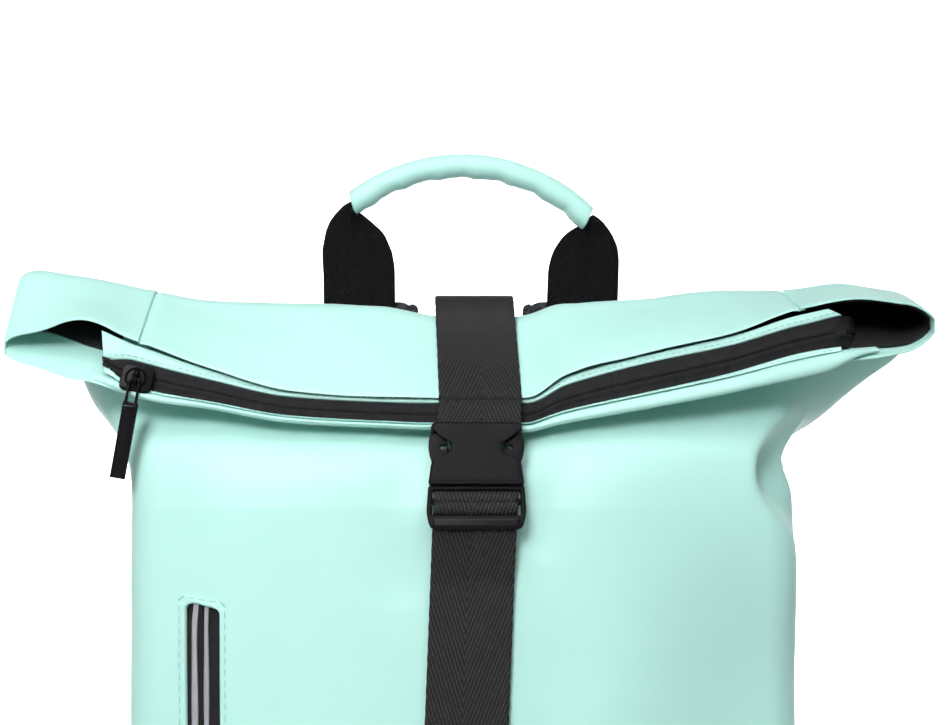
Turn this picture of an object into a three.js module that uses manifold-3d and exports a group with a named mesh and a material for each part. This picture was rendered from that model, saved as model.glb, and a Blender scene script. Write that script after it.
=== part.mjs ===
// Rolltop backpack in millimetres, +Z up, its front facing -Y, standing on its base at z = 0.
// The body is a sewn tube of coated fabric. Its top is pressed flat and folded forward once, and the
// zipped mouth looks forward under the fold. A buckled strap holds the fold down.

import * as THREE from 'three';
import { mergeVertices } from 'three/addons/utils/BufferGeometryUtils.js';
import Module from 'manifold-3d';

const wasm = await Module();
wasm.setup();

// Body of the bag
const BODY_WIDTH = 305;
const BODY_DEPTH = 136;
const CORNER_RADIUS = 14;
const ROLL_HEIGHT = 440;
const FLARE_DROP = 95;
const FLARE_HEIGHT = ROLL_HEIGHT - FLARE_DROP;
const BODY_LEAN = 2;
const WALL = 1.8;
const SEAM_GAP = 0.35;
const CLEARANCE = 0.4;
const FRONT_BULGE = 4;
const BACK_BULGE = 2;
const SIDE_BULGE = 5;
const BASE_RISE = 14;
const BASE_ROUND = 12;
const DENT_DEPTH = 21;
const DENT_LIFT = 16;
const DENT_SPREAD = 16;

// Folded top and its mouth
const ROLL_RADIUS = 12;
const ROLL_SETBACK = -12;
const FLAP_DROP = 60;
const MOUTH_GAPE = 30;
const MOUTH_TUCK = 8;
const MOUTH_REACH = BODY_DEPTH / 2 - MOUTH_TUCK;
const LIP_TUCK = 10;
const FOLD_GAP = 8;
const LINING_WALL = 1;
const LINING_EASE = 0.7;

// Zip in the mouth
const FACING_WALL = 1.3;
const TAPE_WALL = 1;
const COIL_WIDTH = 5.5;
const COIL_WALL = 1.2;
const ZIP_RECESS = 2.5;
const SLIDER_LENGTH = 13;
const SLIDER_WIDTH = 10;
const SLIDER_WALL = 2.4;
const SLIDER_STANDOFF = 0.6;
const DOME_RADIUS = 4.8;
const DOME_HEIGHT = 3.6;
const EYE_BORE = 2.2;
const EYE_WALL = 1;
const EYE_WIDTH = 2.4;
const PULL_LENGTH = 39;
const PULL_WIDTH = 6.8;
const PULL_WALL = 1.8;
const PULL_LEAN = 9.7;
const CROSSBAR = 1.3;
const WINDOW_LENGTH = 7;
const SLIDER_STEP = 1;

// Closure strap and side release buckle
const WEBBING = 38;
const WEBBING_WALL = 1.5;
const STRAP_X = 3;
const STRAP_ARCH = 7.5;
const STRAP_HEM = 8;
const STRAP_TAIL = 150;
const STRAP_ANCHOR_HEIGHT = 96;
const BUCKLE_DROP = 57;
const BUCKLE_TOP = ROLL_HEIGHT - BUCKLE_DROP;
const BUCKLE_WIDTH = 43;
const BUCKLE_THICK = 12;
const HOUSING_LENGTH = 28;
const HOUSING_PLATE = 2;
const HOUSING_WAIST = 7;
const FRAME_LENGTH = 20;
const FRAME_WIDTH = 45;
const FRAME_THICK = 6;
const FRAME_RIM = 2.4;
const FRAME_BAR = 6;
const PIN = 3;
const BUCKLE_TILT = 10.5;
const BUCKLE_EASE = 1.5;
const RIB_REACH = 15.6;
const TONGUE_WIDTH = 9;
const ARM_WIDTH = 4.6;

// Carrying handle
const HANDLE_SPREAD = 118;
const ANCHOR_DROP = 15;
const HANDLE_ANCHOR = FLARE_HEIGHT - ANCHOR_DROP;
const GRIP_DIAMETER = 12;
const GRIP_SPAN = 124;
const GRIP_RISE = 24;
const GRIP_LIFT = 49;
const GRIP_END_HEIGHT = ROLL_HEIGHT + GRIP_LIFT;
const GRIP_TILT = -3.7;

// Back pad and shoulder straps
const PAD_THICK = 8;
const PAD_MARGIN = 30.5;
const PAD_WIDTH = BODY_WIDTH - 2 * PAD_MARGIN;
const PAD_EASE = 10;
const PAD_TOP = HANDLE_ANCHOR - PAD_EASE;
const PAD_FOOT = 56;
const SHOULDER_WIDTH = 50;
const SHOULDER_PAD_WIDTH = 66;
const SHOULDER_THICK = 11;
const SHOULDER_LIFT = 3;
const SHOULDER_TOP = ROLL_HEIGHT + SHOULDER_LIFT;
const SHOULDER_SPREAD = 104;
const SHOULDER_FOOT = 150;
const SHOULDER_FOOT_MARGIN = 54.5;
const SHOULDER_FOOT_SPREAD = BODY_WIDTH - 2 * SHOULDER_FOOT_MARGIN;
const SIDE_WEBBING = 25;
const ADJUSTER_WIDTH = 32;
const ADJUSTER_LENGTH = 26;
const ADJUSTER_THICK = 5;

// Zipped front pocket
const POCKET_X = -120;
const POCKET_TOP = 301;
const POCKET_LENGTH = 170;
const POCKET_WINDOW = 15.6;
const POCKET_LAP = 5;
const STRIPE_WIDTH = 2.7;
const STRIPE_OFFSET = 4;
const POCKET_COIL = 2.6;
const TRIM_WALL = 0.7;

// Rows across the folded top from its left end (-1) to its right end (1). Crest and drop are shares
// of the flap's drop, above and below the roll's height. Gape is a share of the mouth's gape, and
// zipTop and zipBottom are shares of the mouth from its upper lip to its lower lip.
const FOLD_ROWS = [
  { at: -1.00, crest: 0.29, drop: 0.39, gape: 0.50, zipTop: 0.40, zipBottom: 0.78 },
  { at: -0.95, crest: 0.24, drop: 0.40, gape: 0.52, zipTop: 0.40, zipBottom: 0.78 },
  { at: -0.82, crest: 0.16, drop: 0.41, gape: 0.95, zipTop: 0.40, zipBottom: 0.78 },
  { at: -0.70, crest: 0.07, drop: 0.56, gape: 0.90, zipTop: 0.37, zipBottom: 0.77 },
  { at: -0.55, crest: -0.01, drop: 0.70, gape: 0.68, zipTop: 0.32, zipBottom: 0.79 },
  { at: -0.38, crest: -0.03, drop: 0.84, gape: 0.54, zipTop: 0.24, zipBottom: 0.78 },
  { at: -0.20, crest: -0.05, drop: 0.88, gape: 0.52, zipTop: 0.22, zipBottom: 0.80 },
  { at: -0.09, crest: -0.11, drop: 0.89, gape: 0.54, zipTop: 0.22, zipBottom: 0.80 },
  { at: 0.12, crest: -0.11, drop: 0.89, gape: 0.54, zipTop: 0.22, zipBottom: 0.80 },
  { at: 0.20, crest: -0.03, drop: 0.77, gape: 0.72, zipTop: 0.25, zipBottom: 0.77 },
  { at: 0.38, crest: 0.02, drop: 0.61, gape: 0.82, zipTop: 0.22, zipBottom: 0.75 },
  { at: 0.55, crest: 0.07, drop: 0.48, gape: 0.87, zipTop: 0.23, zipBottom: 0.69 },
  { at: 0.70, crest: 0.08, drop: 0.33, gape: 1.00, zipTop: 0.24, zipBottom: 0.64 },
  { at: 0.82, crest: 0.13, drop: 0.25, gape: 0.97, zipTop: 0.20, zipBottom: 0.70 },
  { at: 0.92, crest: 0.08, drop: 0.24, gape: 0.80, zipTop: 0.20, zipBottom: 0.70 },
  { at: 1.00, crest: 0.04, drop: 0.22, gape: 0.60, zipTop: 0.20, zipBottom: 0.70 },
];

// How far the tube has closed from its box section (0) to flat (1), on the way up to the fold
const FLARE_ROWS = [
  { at: 0.00, closed: 0.00 },
  { at: 0.14, closed: 0.02 },
  { at: 0.28, closed: 0.07 },
  { at: 0.36, closed: 0.14 },
  { at: 0.46, closed: 0.25 },
  { at: 0.60, closed: 0.43 },
  { at: 0.75, closed: 0.66 },
  { at: 0.88, closed: 0.88 },
  { at: 1.00, closed: 1.00 },
];

// Half the gap between the pressed walls, as a share of the fold's gap, towards the open end loops
const LOOP_ROWS = [
  { at: 0.00, open: 0.50 },
  { at: 0.55, open: 0.52 },
  { at: 0.70, open: 0.62 },
  { at: 0.85, open: 0.90 },
  { at: 1.00, open: 1.10 },
];
const LOOP_ROUNDING = 0.93;

const zipSpan = { left: -0.79, right: 0.80, steps: 26 };

// Finishes
function finish(color, roughness, metalness = 0) {
  return new THREE.MeshStandardMaterial({ color, roughness, metalness });
}
const coatedFabric = finish(0x9fe6d6, 0.55);
const blackLining = finish(0x101012, 0.8);
const blackWebbing = finish(0x1b1b1d, 0.85);
const blackPlastic = finish(0x202022, 0.5);
const blackMetal = finish(0x0c0c0d, 0.25, 0.8);
const blackMesh = finish(0x1a1a1c, 0.9);
const zipTape = finish(0x151517, 0.8);
const reflective = finish(0xb9bcc6, 0.35, 0.3);

const group = new THREE.Group();

function add(name, geometry, material) {
  const mesh = new THREE.Mesh(geometry, material);
  mesh.name = name;
  group.add(mesh);
}

const v3 = (x, y, z) => new THREE.Vector3(x, y, z);
const mix = (a, b, t) => a + (b - a) * t;
const clamp = (value, low, high) => Math.min(Math.max(value, low), high);
const smooth = (t) => {
  const s = clamp(t, 0, 1);
  return s * s * (3 - 2 * s);
};

// A smooth curve through one column of a table of rows, which never swings past them
function column(rows, key) {
  const rate = rows.slice(1).map((row, i) => (row[key] - rows[i][key]) / (row.at - rows[i].at));
  const slope = rows.map((row, i) => {
    const before = rate[Math.max(i - 1, 0)];
    const after = rate[Math.min(i, rate.length - 1)];
    return before * after > 0 ? 2 * before * after / (before + after) : 0;
  });
  return (at) => {
    const s = clamp(at, rows[0].at, rows[rows.length - 1].at);
    let i = 0;
    while (i < rows.length - 2 && s > rows[i + 1].at) i += 1;
    const span = rows[i + 1].at - rows[i].at;
    const t = (s - rows[i].at) / span;
    const rise = t * t * (3 - 2 * t);
    const bend0 = t * (1 - t) * (1 - t) * span * slope[i];
    const bend1 = t * t * (t - 1) * span * slope[i + 1];
    return rows[i][key] * (1 - rise) + rows[i + 1][key] * rise + bend0 + bend1;
  };
}

const crestShare = column(FOLD_ROWS, 'crest');
const dropShare = column(FOLD_ROWS, 'drop');
const gapeShare = column(FOLD_ROWS, 'gape');
const zipTopShare = column(FOLD_ROWS, 'zipTop');
const zipBottomShare = column(FOLD_ROWS, 'zipBottom');
const flareShare = column(FLARE_ROWS, 'closed');
const loopShare = column(LOOP_ROWS, 'open');

// A closed solid from rings of equal length. Point i of a ring faces point (last - i) across it.
function loft(rings) {
  const size = rings[0].length;
  const points = rings.flat();
  const faces = [];
  const quad = (a, b, c, d) => faces.push(a, b, c, a, c, d);
  for (let r = 0; r + 1 < rings.length; r += 1) {
    for (let i = 0; i < size; i += 1) {
      const j = (i + 1) % size;
      const corners = [r * size + i, r * size + j, (r + 1) * size + j, (r + 1) * size + i];
      if (i < size / 2) quad(...corners);
      else quad(...corners.slice(1), corners[0]);
    }
  }
  const last = (rings.length - 1) * size;
  for (let i = 0; i + 1 < size / 2; i += 1) {
    const far = size - 1 - i;
    quad(i, far, far - 1, i + 1);
    quad(last + i, last + i + 1, last + far - 1, last + far);
  }
  return facingOut(points, faces);
}

// The geometry of points and faces, turned so that its faces point out
function facingOut(points, faces) {
  let volume = 0;
  for (let f = 0; f < faces.length; f += 3) {
    const [a, b, c] = [points[faces[f]], points[faces[f + 1]], points[faces[f + 2]]];
    volume += a.dot(v3().crossVectors(b, c));
  }
  const order = volume < 0 ? faces.reverse() : faces;
  const geometry = new THREE.BufferGeometry();
  const flat = new Float32Array(points.flatMap((p) => [p.x, p.y, p.z]));
  geometry.setAttribute('position', new THREE.BufferAttribute(flat, 3));
  geometry.setIndex(order);
  return geometry;
}

function toManifold(geometry) {
  const bare = geometry.clone();
  bare.deleteAttribute('normal');
  bare.deleteAttribute('uv');
  const merged = mergeVertices(bare, 1e-4);
  const vertProperties = new Float32Array(merged.attributes.position.array);
  const triVerts = new Uint32Array(merged.index.array);
  return new wasm.Manifold(new wasm.Mesh({ numProp: 3, vertProperties, triVerts }));
}

function fromManifold(solid) {
  const mesh = solid.getMesh();
  const geometry = new THREE.BufferGeometry();
  geometry.setAttribute('position', new THREE.BufferAttribute(mesh.vertProperties, 3));
  geometry.setIndex(new THREE.BufferAttribute(mesh.triVerts, 1));
  return geometry;
}

const joined = (...parts) => parts.map(toManifold).reduce((all, part) => all.add(part));
const cut = (solid, ...tools) => tools.reduce((left, tool) => left.subtract(toManifold(tool)), solid);

function block(width, depth, height, x, y, z) {
  return new THREE.BoxGeometry(width, depth, height).translate(x, y, z);
}

// An outline in the X-Z plane, extruded along Y and centred on y = 0
function plate(shape, thickness, steps = 4) {
  const options = { depth: thickness, bevelEnabled: false, curveSegments: steps };
  return new THREE.ExtrudeGeometry(shape, options).rotateX(Math.PI / 2).translate(0, thickness / 2, 0);
}

function roundedOutline(width, height, radius) {
  const [w, h] = [width / 2, height / 2];
  const shape = new THREE.Shape();
  shape.moveTo(-w + radius, -h);
  shape.lineTo(w - radius, -h);
  shape.absarc(w - radius, -h + radius, radius, -Math.PI / 2, 0);
  shape.lineTo(w, h - radius);
  shape.absarc(w - radius, h - radius, radius, 0, Math.PI / 2);
  shape.lineTo(-w + radius, h);
  shape.absarc(-w + radius, h - radius, radius, Math.PI / 2, Math.PI);
  shape.lineTo(-w, -h + radius);
  shape.absarc(-w + radius, -h + radius, radius, Math.PI, Math.PI * 1.5);
  return shape;
}

// Fabric measured around the bag, from the middle of the front to the middle of the gusset
const flatSide = BODY_WIDTH / 2 - CORNER_RADIUS;
const cornerArc = CORNER_RADIUS * Math.PI / 2;
const halfFlat = flatSide + cornerArc + BODY_DEPTH / 2 - CORNER_RADIUS;
const seamShare = (flatSide + cornerArc / 2) / halfFlat;

// The box section of the body at fabric share u, on its front (side -1) or back (side 1)
function boxSection(u, side) {
  const along = Math.abs(u) * halfFlat;
  let x = along;
  let y = BODY_DEPTH / 2;
  if (along > flatSide + cornerArc) {
    x = BODY_WIDTH / 2;
    y = halfFlat - along;
  } else if (along > flatSide) {
    const turn = (along - flatSide) / CORNER_RADIUS;
    x = flatSide + CORNER_RADIUS * Math.sin(turn);
    y = BODY_DEPTH / 2 - CORNER_RADIUS * (1 - Math.cos(turn));
  }
  return [x * Math.sign(u), y * side];
}

function loopEnd(u) {
  const t = clamp((Math.abs(u) - LOOP_ROUNDING) / (1 - LOOP_ROUNDING), 0, 1);
  return Math.sqrt(Math.max(1 - t * t, 0));
}

const looseGap = (u) => FOLD_GAP * loopShare(Math.abs(u));
const halfGap = (u) => looseGap(u) * loopEnd(u);
const bendHeight = (u) => ROLL_HEIGHT + FLAP_DROP * crestShare(u) - ROLL_RADIUS - looseGap(u);
const mouthHeight = (u) => ROLL_HEIGHT - FLAP_DROP * dropShare(u);
const mouthGape = (u) => MOUTH_GAPE * gapeShare(u) * loopEnd(u);

// The rim of one wall at the mouth, as y and z
function lip(u, side) {
  const inward = LIP_TUCK * smooth((Math.abs(u) - 0.8) / 0.2);
  return [inward - MOUTH_REACH, mouthHeight(u) + side * mouthGape(u) / 2];
}

// Where one wall leaves its bend for the flap: the tangent from the lip to the bend's circle
function bendOf(u, side) {
  const radius = ROLL_RADIUS + side * halfGap(u);
  const centre = [ROLL_SETBACK, bendHeight(u)];
  const [lipY, lipZ] = lip(u, side);
  const [dy, dz] = [lipY - centre[0], lipZ - centre[1]];
  const reach = Math.hypot(dy, dz);
  const flap = Math.sqrt(reach * reach - radius * radius);
  const bearing = (Math.atan2(dz, dy) + 2 * Math.PI) % (2 * Math.PI);
  return { radius, centre, flap, turn: bearing - Math.atan2(flap, radius) };
}

// How far a point of the right gusset is drawn in by the dent, and of the left one by half of it
function dent(u, side, z) {
  const level = Math.exp(-(((z - FLARE_HEIGHT - DENT_LIFT) / DENT_SPREAD) ** 2) / 2);
  const fromSeam = (Math.abs(u) - seamShare) / (1 - seamShare);
  const across = side < 0 ? clamp(fromSeam / 2, -0.5, 0.5) : clamp(1 - fromSeam / 2, 0.5, 1);
  const rightShape = smooth((across + 0.4) / 0.4) * (1 - smooth((across - 0.4) / 0.4));
  const leftShape = smooth(across / 0.4) * (1 - smooth((across - 0.6) / 0.4));
  return DENT_DEPTH * level * (u > 0 ? rightShape : leftShape / 2);
}

// The outer face of the sewn tube. p goes once around it: 0 front, 1 right, 2 back, 3 left.
// v is 0 to 1 up the body, 1 to 2 up the flare, 2 to 3 over the bend and 3 to 4 down the flap.
function shell(p, v) {
  const around = (p + 4) % 4;
  const side = around > 1 && around < 3 ? 1 : -1;
  let u = around;
  if (around > 3) u = around - 4;
  else if (around > 1) u = 2 - around;
  const [boxX, boxY] = boxSection(u, side);
  const neckY = ROLL_SETBACK + ROLL_RADIUS + side * halfGap(u);
  if (v <= 2) {
    const z = v <= 1 ? mix(BASE_RISE, FLARE_HEIGHT, v) : mix(FLARE_HEIGHT, bendHeight(u), v - 1);
    const closed = v <= 1 ? 0 : flareShare(v - 1);
    const swell = Math.sin(Math.PI * clamp(z / ROLL_HEIGHT, 0, 1)) * (1 - closed);
    const across = clamp(boxX * 2 / BODY_WIDTH, -1, 1);
    const along = clamp(boxY * 2 / BODY_DEPTH, -1, 1);
    const bulge = side < 0 ? FRONT_BULGE : BACK_BULGE;
    const inDent = dent(u, side, z);
    const fullX = boxX + Math.sign(u) * (SIDE_BULGE * swell * (1 - along * along) - inDent);
    const fullY = boxY + side * bulge * swell * (1 - across * across) + inDent * 0.25;
    const lean = BODY_LEAN * (1 - closed) * smooth(z / FLARE_HEIGHT);
    return v3(mix(fullX, u * halfFlat, closed) - lean, mix(fullY, neckY, closed), z);
  }
  const bend = bendOf(u, side);
  const turn = bend.turn * Math.min(v - 2, 1);
  const flap = bend.flap * Math.max(v - 3, 0);
  const y = bend.centre[0] + bend.radius * Math.cos(turn) - flap * Math.sin(turn);
  const z = bend.centre[1] + bend.radius * Math.sin(turn) + flap * Math.cos(turn);
  return v3(u * halfFlat, y, z);
}

// The shell's outward direction
function outward(p, v) {
  const [dp, dv] = [0.004, 0.01];
  const up = Math.min(v + dv, 4);
  const down = Math.max(v - dv, 0);
  const alongP = shell(p + dp, v).sub(shell(p - dp, v));
  const alongV = shell(p, up).sub(shell(p, down));
  return alongP.cross(alongV).normalize();
}

// The two edges at a seam share the seam's own direction, so that their gap is even all through
const halfSeam = SEAM_GAP / 2 / halfFlat;
const seams = [seamShare, 2 - seamShare, 2 + seamShare, 4 - seamShare];
function atSeam(p) {
  const around = (p + 4) % 4;
  return seams.find((seam) => Math.abs(seam - around) < 2 * halfSeam) ?? p;
}

const inset = (p, v, depth) => shell(p, v).addScaledVector(outward(atSeam(p), v), -depth);

// The same on the flat facets of a panel, between its columns and levels
function onFacets(columns, levels, p, v, depth) {
  const cell = (list, value) => {
    const index = clamp(list.findIndex((edge) => edge > value), 1, list.length - 1);
    return [list[index - 1], list[index]];
  };
  const [p0, p1] = cell(columns, p);
  const [v0, v1] = cell(levels, v);
  const low = inset(p0, v0, depth).lerp(inset(p1, v0, depth), (p - p0) / (p1 - p0));
  const high = inset(p0, v1, depth).lerp(inset(p1, v1, depth), (p - p0) / (p1 - p0));
  return low.lerp(high, (v - v0) / (v1 - v0));
}

// A tile of the shell between two depths below its outer face
function tile(columns, levels, depthOuter, depthInner) {
  return loft(levels.map((v) => {
    const outer = columns.map((p) => inset(p, v, depthOuter));
    const inner = columns.map((p) => inset(p, v, depthInner));
    return [...outer, ...inner.reverse()];
  }));
}

const spread = (from, to, count) => Array.from({ length: count + 1 }, (_, i) => mix(from, to, i / count));

const bodyLevels = [0, 0.12, 0.35, 0.6, 0.8];
const dentLevels = [0.89, 0.95, 1.0, 1.06, 1.12, 1.24, 1.33, 1.42, 1.5, 1.58, 1.68, 1.8, 1.92];
const foldLevels = [2, 2.25, 2.5, 2.75, 3, 3.33, 3.66, 4];
const allLevels = [...bodyLevels, ...dentLevels, ...foldLevels];
const panelEdge = seamShare - halfSeam;
const gussetEdge = seamShare + halfSeam;
const panelColumns = [-panelEdge, ...spread(-0.6, -0.1, 5), 0, 0.12, ...spread(0.2, 0.6, 4), panelEdge];

// Columns across a gusset, closer together round the fold at its middle
const gussetSteps = [gussetEdge, 0.8, 0.9, 0.95, 0.985];
const gussetColumns = [...gussetSteps, 1, ...gussetSteps.map((s) => 2 - s).reverse()];

const pocketMiddle = POCKET_TOP - POCKET_LENGTH / 2;

function frontPanel() {
  const panel = toManifold(tile(panelColumns, allLevels, 0, WALL));
  const window = roundedOutline(POCKET_WINDOW, POCKET_LENGTH, POCKET_WINDOW / 3);
  const tool = plate(window, BODY_DEPTH / 2).translate(POCKET_X, -BODY_DEPTH / 2, pocketMiddle);
  return fromManifold(cut(panel, tool));
}

// The base: a tray whose edge is rounded up to meet the walls
function basePanel() {
  const around = [];
  for (const [from, to, count] of [[-seamShare, seamShare, 2], [seamShare, 2 - seamShare, 8],
    [2 - seamShare, 2 + seamShare, 2], [2 + seamShare, 4 - seamShare, 8]]) {
    around.push(...spread(from, to, count).slice(0, -1));
  }
  const rim = around.map((p) => shell(p, 0));
  const ring = (drop, pull) => rim.map((point) => {
    const out = v3(point.x, point.y, 0);
    const scaleX = (BODY_WIDTH / 2 - pull) / (BODY_WIDTH / 2);
    const scaleY = (BODY_DEPTH / 2 - pull) / (BODY_DEPTH / 2);
    return v3(out.x * scaleX, out.y * scaleY, drop);
  });
  const round = [0, 30, 60, 90].map((degrees) => degrees * Math.PI / 180);
  const top = BASE_RISE - SEAM_GAP;
  const rings = [];
  for (const turn of round) {
    rings.push(ring(top * (1 - Math.sin(turn)), BASE_ROUND * (1 - Math.cos(turn))));
  }
  const innerRound = BASE_ROUND - WALL;
  for (const turn of [...round].reverse()) {
    const z = WALL + (top - WALL) * (1 - Math.sin(turn));
    rings.push(ring(z, WALL + innerRound * (1 - Math.cos(turn))));
  }
  return dish(rings);
}

// A solid dish from rings that run down its outside and up its inside
function dish(rings) {
  const size = rings[0].length;
  const points = rings.flat();
  const half = rings.length / 2;
  const faces = [];
  for (let r = 0; r < rings.length; r += 1) {
    if (r === half - 1) continue;
    const next = (r + 1) % rings.length;
    for (let i = 0; i < size; i += 1) {
      const j = (i + 1) % size;
      faces.push(r * size + i, r * size + j, next * size + j);
      faces.push(r * size + i, next * size + j, next * size + i);
    }
  }
  const outerMiddle = points.length;
  points.push(v3(0, 0, rings[half - 1][0].z));
  points.push(v3(0, 0, rings[half][0].z));
  for (let i = 0; i < size; i += 1) {
    const j = (i + 1) % size;
    faces.push((half - 1) * size + i, (half - 1) * size + j, outerMiddle);
    faces.push(half * size + j, half * size + i, outerMiddle + 1);
  }
  return facingOut(points, faces);
}

add('front_panel', frontPanel(), coatedFabric);
add('back_panel', tile(panelColumns.map((p) => p + 2), allLevels, 0, WALL), coatedFabric);
add('gusset_right', tile(gussetColumns, allLevels, 0, WALL), coatedFabric);
add('gusset_left', tile(gussetColumns.map((p) => p + 2), allLevels, 0, WALL), coatedFabric);
add('base_panel', basePanel(), coatedFabric);

// Lining of the open loops at the two ends of the mouth, up to this share of the shell
const liningRim = 3.9;

function lining(shift) {
  const columns = gussetColumns.slice(1, -1).map((p) => p + shift);
  const depth = WALL + LINING_EASE;
  return tile(columns, [...foldLevels.slice(2, -1), liningRim], depth, depth + LINING_WALL);
}

add('lining_right', lining(0), blackLining);
add('lining_left', lining(2), blackLining);

// Zip strips lie between the lips. A strip runs from share a to share b of the mouth at each u.
function mouthFrame(u) {
  const front = u < 0 ? 4 + u : u;
  const back = 2 - u;
  const depth = WALL + CLEARANCE + FACING_WALL;
  const flapDirection = (p) => shell(p, 4).sub(shell(p, 3.9)).normalize();
  const top = inset(back, 4, depth).addScaledVector(flapDirection(back), -ZIP_RECESS);
  const bottom = inset(front, 4, depth).addScaledVector(flapDirection(front), -ZIP_RECESS);
  return { top, bottom, down: bottom.clone().sub(top) };
}

const mouthMiddle = (u) => {
  const { top, down } = mouthFrame(u);
  return top.addScaledVector(down, 0.5);
};

function mouthNormal(u, step = 0.01) {
  return mouthFrame(u).down.cross(mouthMiddle(u + step).sub(mouthMiddle(u - step))).normalize();
}

function zipStrip(from, to, startShare, endShare, outer, inner) {
  return loft(spread(from, to, zipSpan.steps).map((u) => {
    const { top, down } = mouthFrame(u);
    const out = mouthNormal(u);
    const start = top.clone().addScaledVector(down, startShare(u, down.length()));
    const end = top.clone().addScaledVector(down, endShare(u, down.length()));
    const lift = (point, height) => point.clone().addScaledVector(out, height);
    return [lift(start, outer), lift(end, outer), lift(end, inner), lift(start, inner)];
  }));
}

const zipMiddle = (u) => (zipTopShare(u) + zipBottomShare(u)) / 2;
const stripEdge = (share, offset) => (u, length) => share(u) + offset / length;
const facingOuter = FACING_WALL / 2;
const stripEnds = [zipSpan.left, zipSpan.right];
add('zip_facing_upper', zipStrip(...stripEnds, () => 0, stripEdge(zipTopShare, -SEAM_GAP / 2), facingOuter,
  -facingOuter), coatedFabric);
add('zip_facing_lower', zipStrip(...stripEnds, stripEdge(zipBottomShare, SEAM_GAP / 2), () => 1,
  facingOuter, -facingOuter), coatedFabric);
add('zip_tape_upper', zipStrip(...stripEnds, stripEdge(zipTopShare, SEAM_GAP / 2),
  stripEdge(zipMiddle, -SEAM_GAP / 2), TAPE_WALL / 2, -TAPE_WALL / 2), zipTape);
add('zip_tape_lower', zipStrip(...stripEnds, stripEdge(zipMiddle, SEAM_GAP / 2),
  stripEdge(zipBottomShare, -SEAM_GAP / 2), TAPE_WALL / 2, -TAPE_WALL / 2), zipTape);
const coilTop = -TAPE_WALL / 2 - SEAM_GAP;
add('zip_coil', zipStrip(...stripEnds, stripEdge(zipMiddle, -COIL_WIDTH / 2),
  stripEdge(zipMiddle, COIL_WIDTH / 2), coilTop, coilTop - COIL_WALL), zipTape);

// The slider sits on one straight step of the zip. In its own frame x is along the zip, z is across it
// and -y points away from the bag.
function sliderMatrix() {
  const step = (zipSpan.right - zipSpan.left) / zipSpan.steps;
  const u = zipSpan.left + step * (SLIDER_STEP + 0.5);
  const out = mouthNormal(u, step / 2);
  const onStrip = (share) => {
    const { top, down } = mouthFrame(share);
    return top.addScaledVector(down, zipMiddle(share));
  };
  const origin = onStrip(u - step / 2).lerp(onStrip(u + step / 2), 0.5)
    .addScaledVector(out, FACING_WALL / 2 + SLIDER_STANDOFF);
  const lean = THREE.MathUtils.degToRad(PULL_LEAN);
  const inward = out.clone().negate();
  const along = v3(Math.cos(lean), 0, -Math.sin(lean));
  along.addScaledVector(inward, -along.dot(inward)).normalize();
  const across = v3().crossVectors(along, inward);
  return new THREE.Matrix4().makeBasis(along, inward, across).setPosition(origin);
}

const eyeDrop = DOME_RADIUS + EYE_BORE / 2 - 0.2;
const eyeReach = SLIDER_WALL + EYE_BORE / 2 + EYE_WALL;
const onSlider = sliderMatrix();

function slider() {
  const base = plate(roundedOutline(SLIDER_LENGTH, SLIDER_WIDTH, 2.5), SLIDER_WALL, 3);
  const cap = domeSolid();
  const outerEye = EYE_BORE / 2 + EYE_WALL;
  const eye = new THREE.CylinderGeometry(outerEye, outerEye, EYE_WIDTH, 14).rotateZ(Math.PI / 2)
    .translate(0, -eyeReach, -eyeDrop);
  const neck = block(EYE_WIDTH, eyeReach, outerEye * 2, 0, -eyeReach / 2, -eyeDrop + outerEye / 2);
  const bore = new THREE.CylinderGeometry(EYE_BORE / 2, EYE_BORE / 2, EYE_WIDTH * 2, 12)
    .rotateZ(Math.PI / 2).translate(0, -eyeReach, -eyeDrop);
  const body = joined(base.translate(0, -SLIDER_WALL / 2, 0), cap, eye, neck);
  return fromManifold(cut(body, bore));
}

// A low dome on the slider, turned about the axis away from the bag
function domeSolid() {
  const profile = [new THREE.Vector2(0, 0), new THREE.Vector2(DOME_RADIUS, 0)];
  for (const degrees of [0, 25, 50, 75, 90]) {
    const turn = THREE.MathUtils.degToRad(degrees);
    const radius = DOME_RADIUS * Math.cos(turn);
    profile.push(new THREE.Vector2(degrees === 90 ? 0 : radius, 1 + DOME_HEIGHT * Math.sin(turn)));
  }
  return new THREE.LatheGeometry(profile, 16).rotateX(Math.PI).translate(0, -SLIDER_WALL + 0.5, 0);
}

// The pull hangs from the eye by the crossbar at the head of its window
function pull() {
  const half = PULL_WIDTH / 2;
  const outline = new THREE.Shape();
  const head = CROSSBAR / 2;
  outline.moveTo(-half + 0.4, head);
  outline.lineTo(half - 0.4, head);
  outline.lineTo(half - 0.2, -WINDOW_LENGTH - 1);
  outline.lineTo(half, -WINDOW_LENGTH - 3);
  outline.lineTo(half, -PULL_LENGTH);
  outline.lineTo(-half, -PULL_LENGTH);
  outline.lineTo(-half, -WINDOW_LENGTH - 3);
  outline.lineTo(-half + 0.2, -WINDOW_LENGTH - 1);
  outline.lineTo(-half + 0.4, head);
  const window = new THREE.Path();
  const slot = EYE_WIDTH / 2 + CLEARANCE / 2;
  window.moveTo(-slot, -head);
  window.lineTo(-slot, -WINDOW_LENGTH);
  window.lineTo(slot, -WINDOW_LENGTH);
  window.lineTo(slot, -head);
  window.lineTo(-slot, -head);
  outline.holes.push(window);
  const body = toManifold(plate(outline, PULL_WALL));
  const trim = PULL_WALL - CROSSBAR;
  const tools = [-1, 1].map((face) => block(slot * 2, trim, CROSSBAR * 2, 0,
    face * PULL_WALL / 2, 0));
  return fromManifold(cut(body, ...tools));
}

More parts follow.
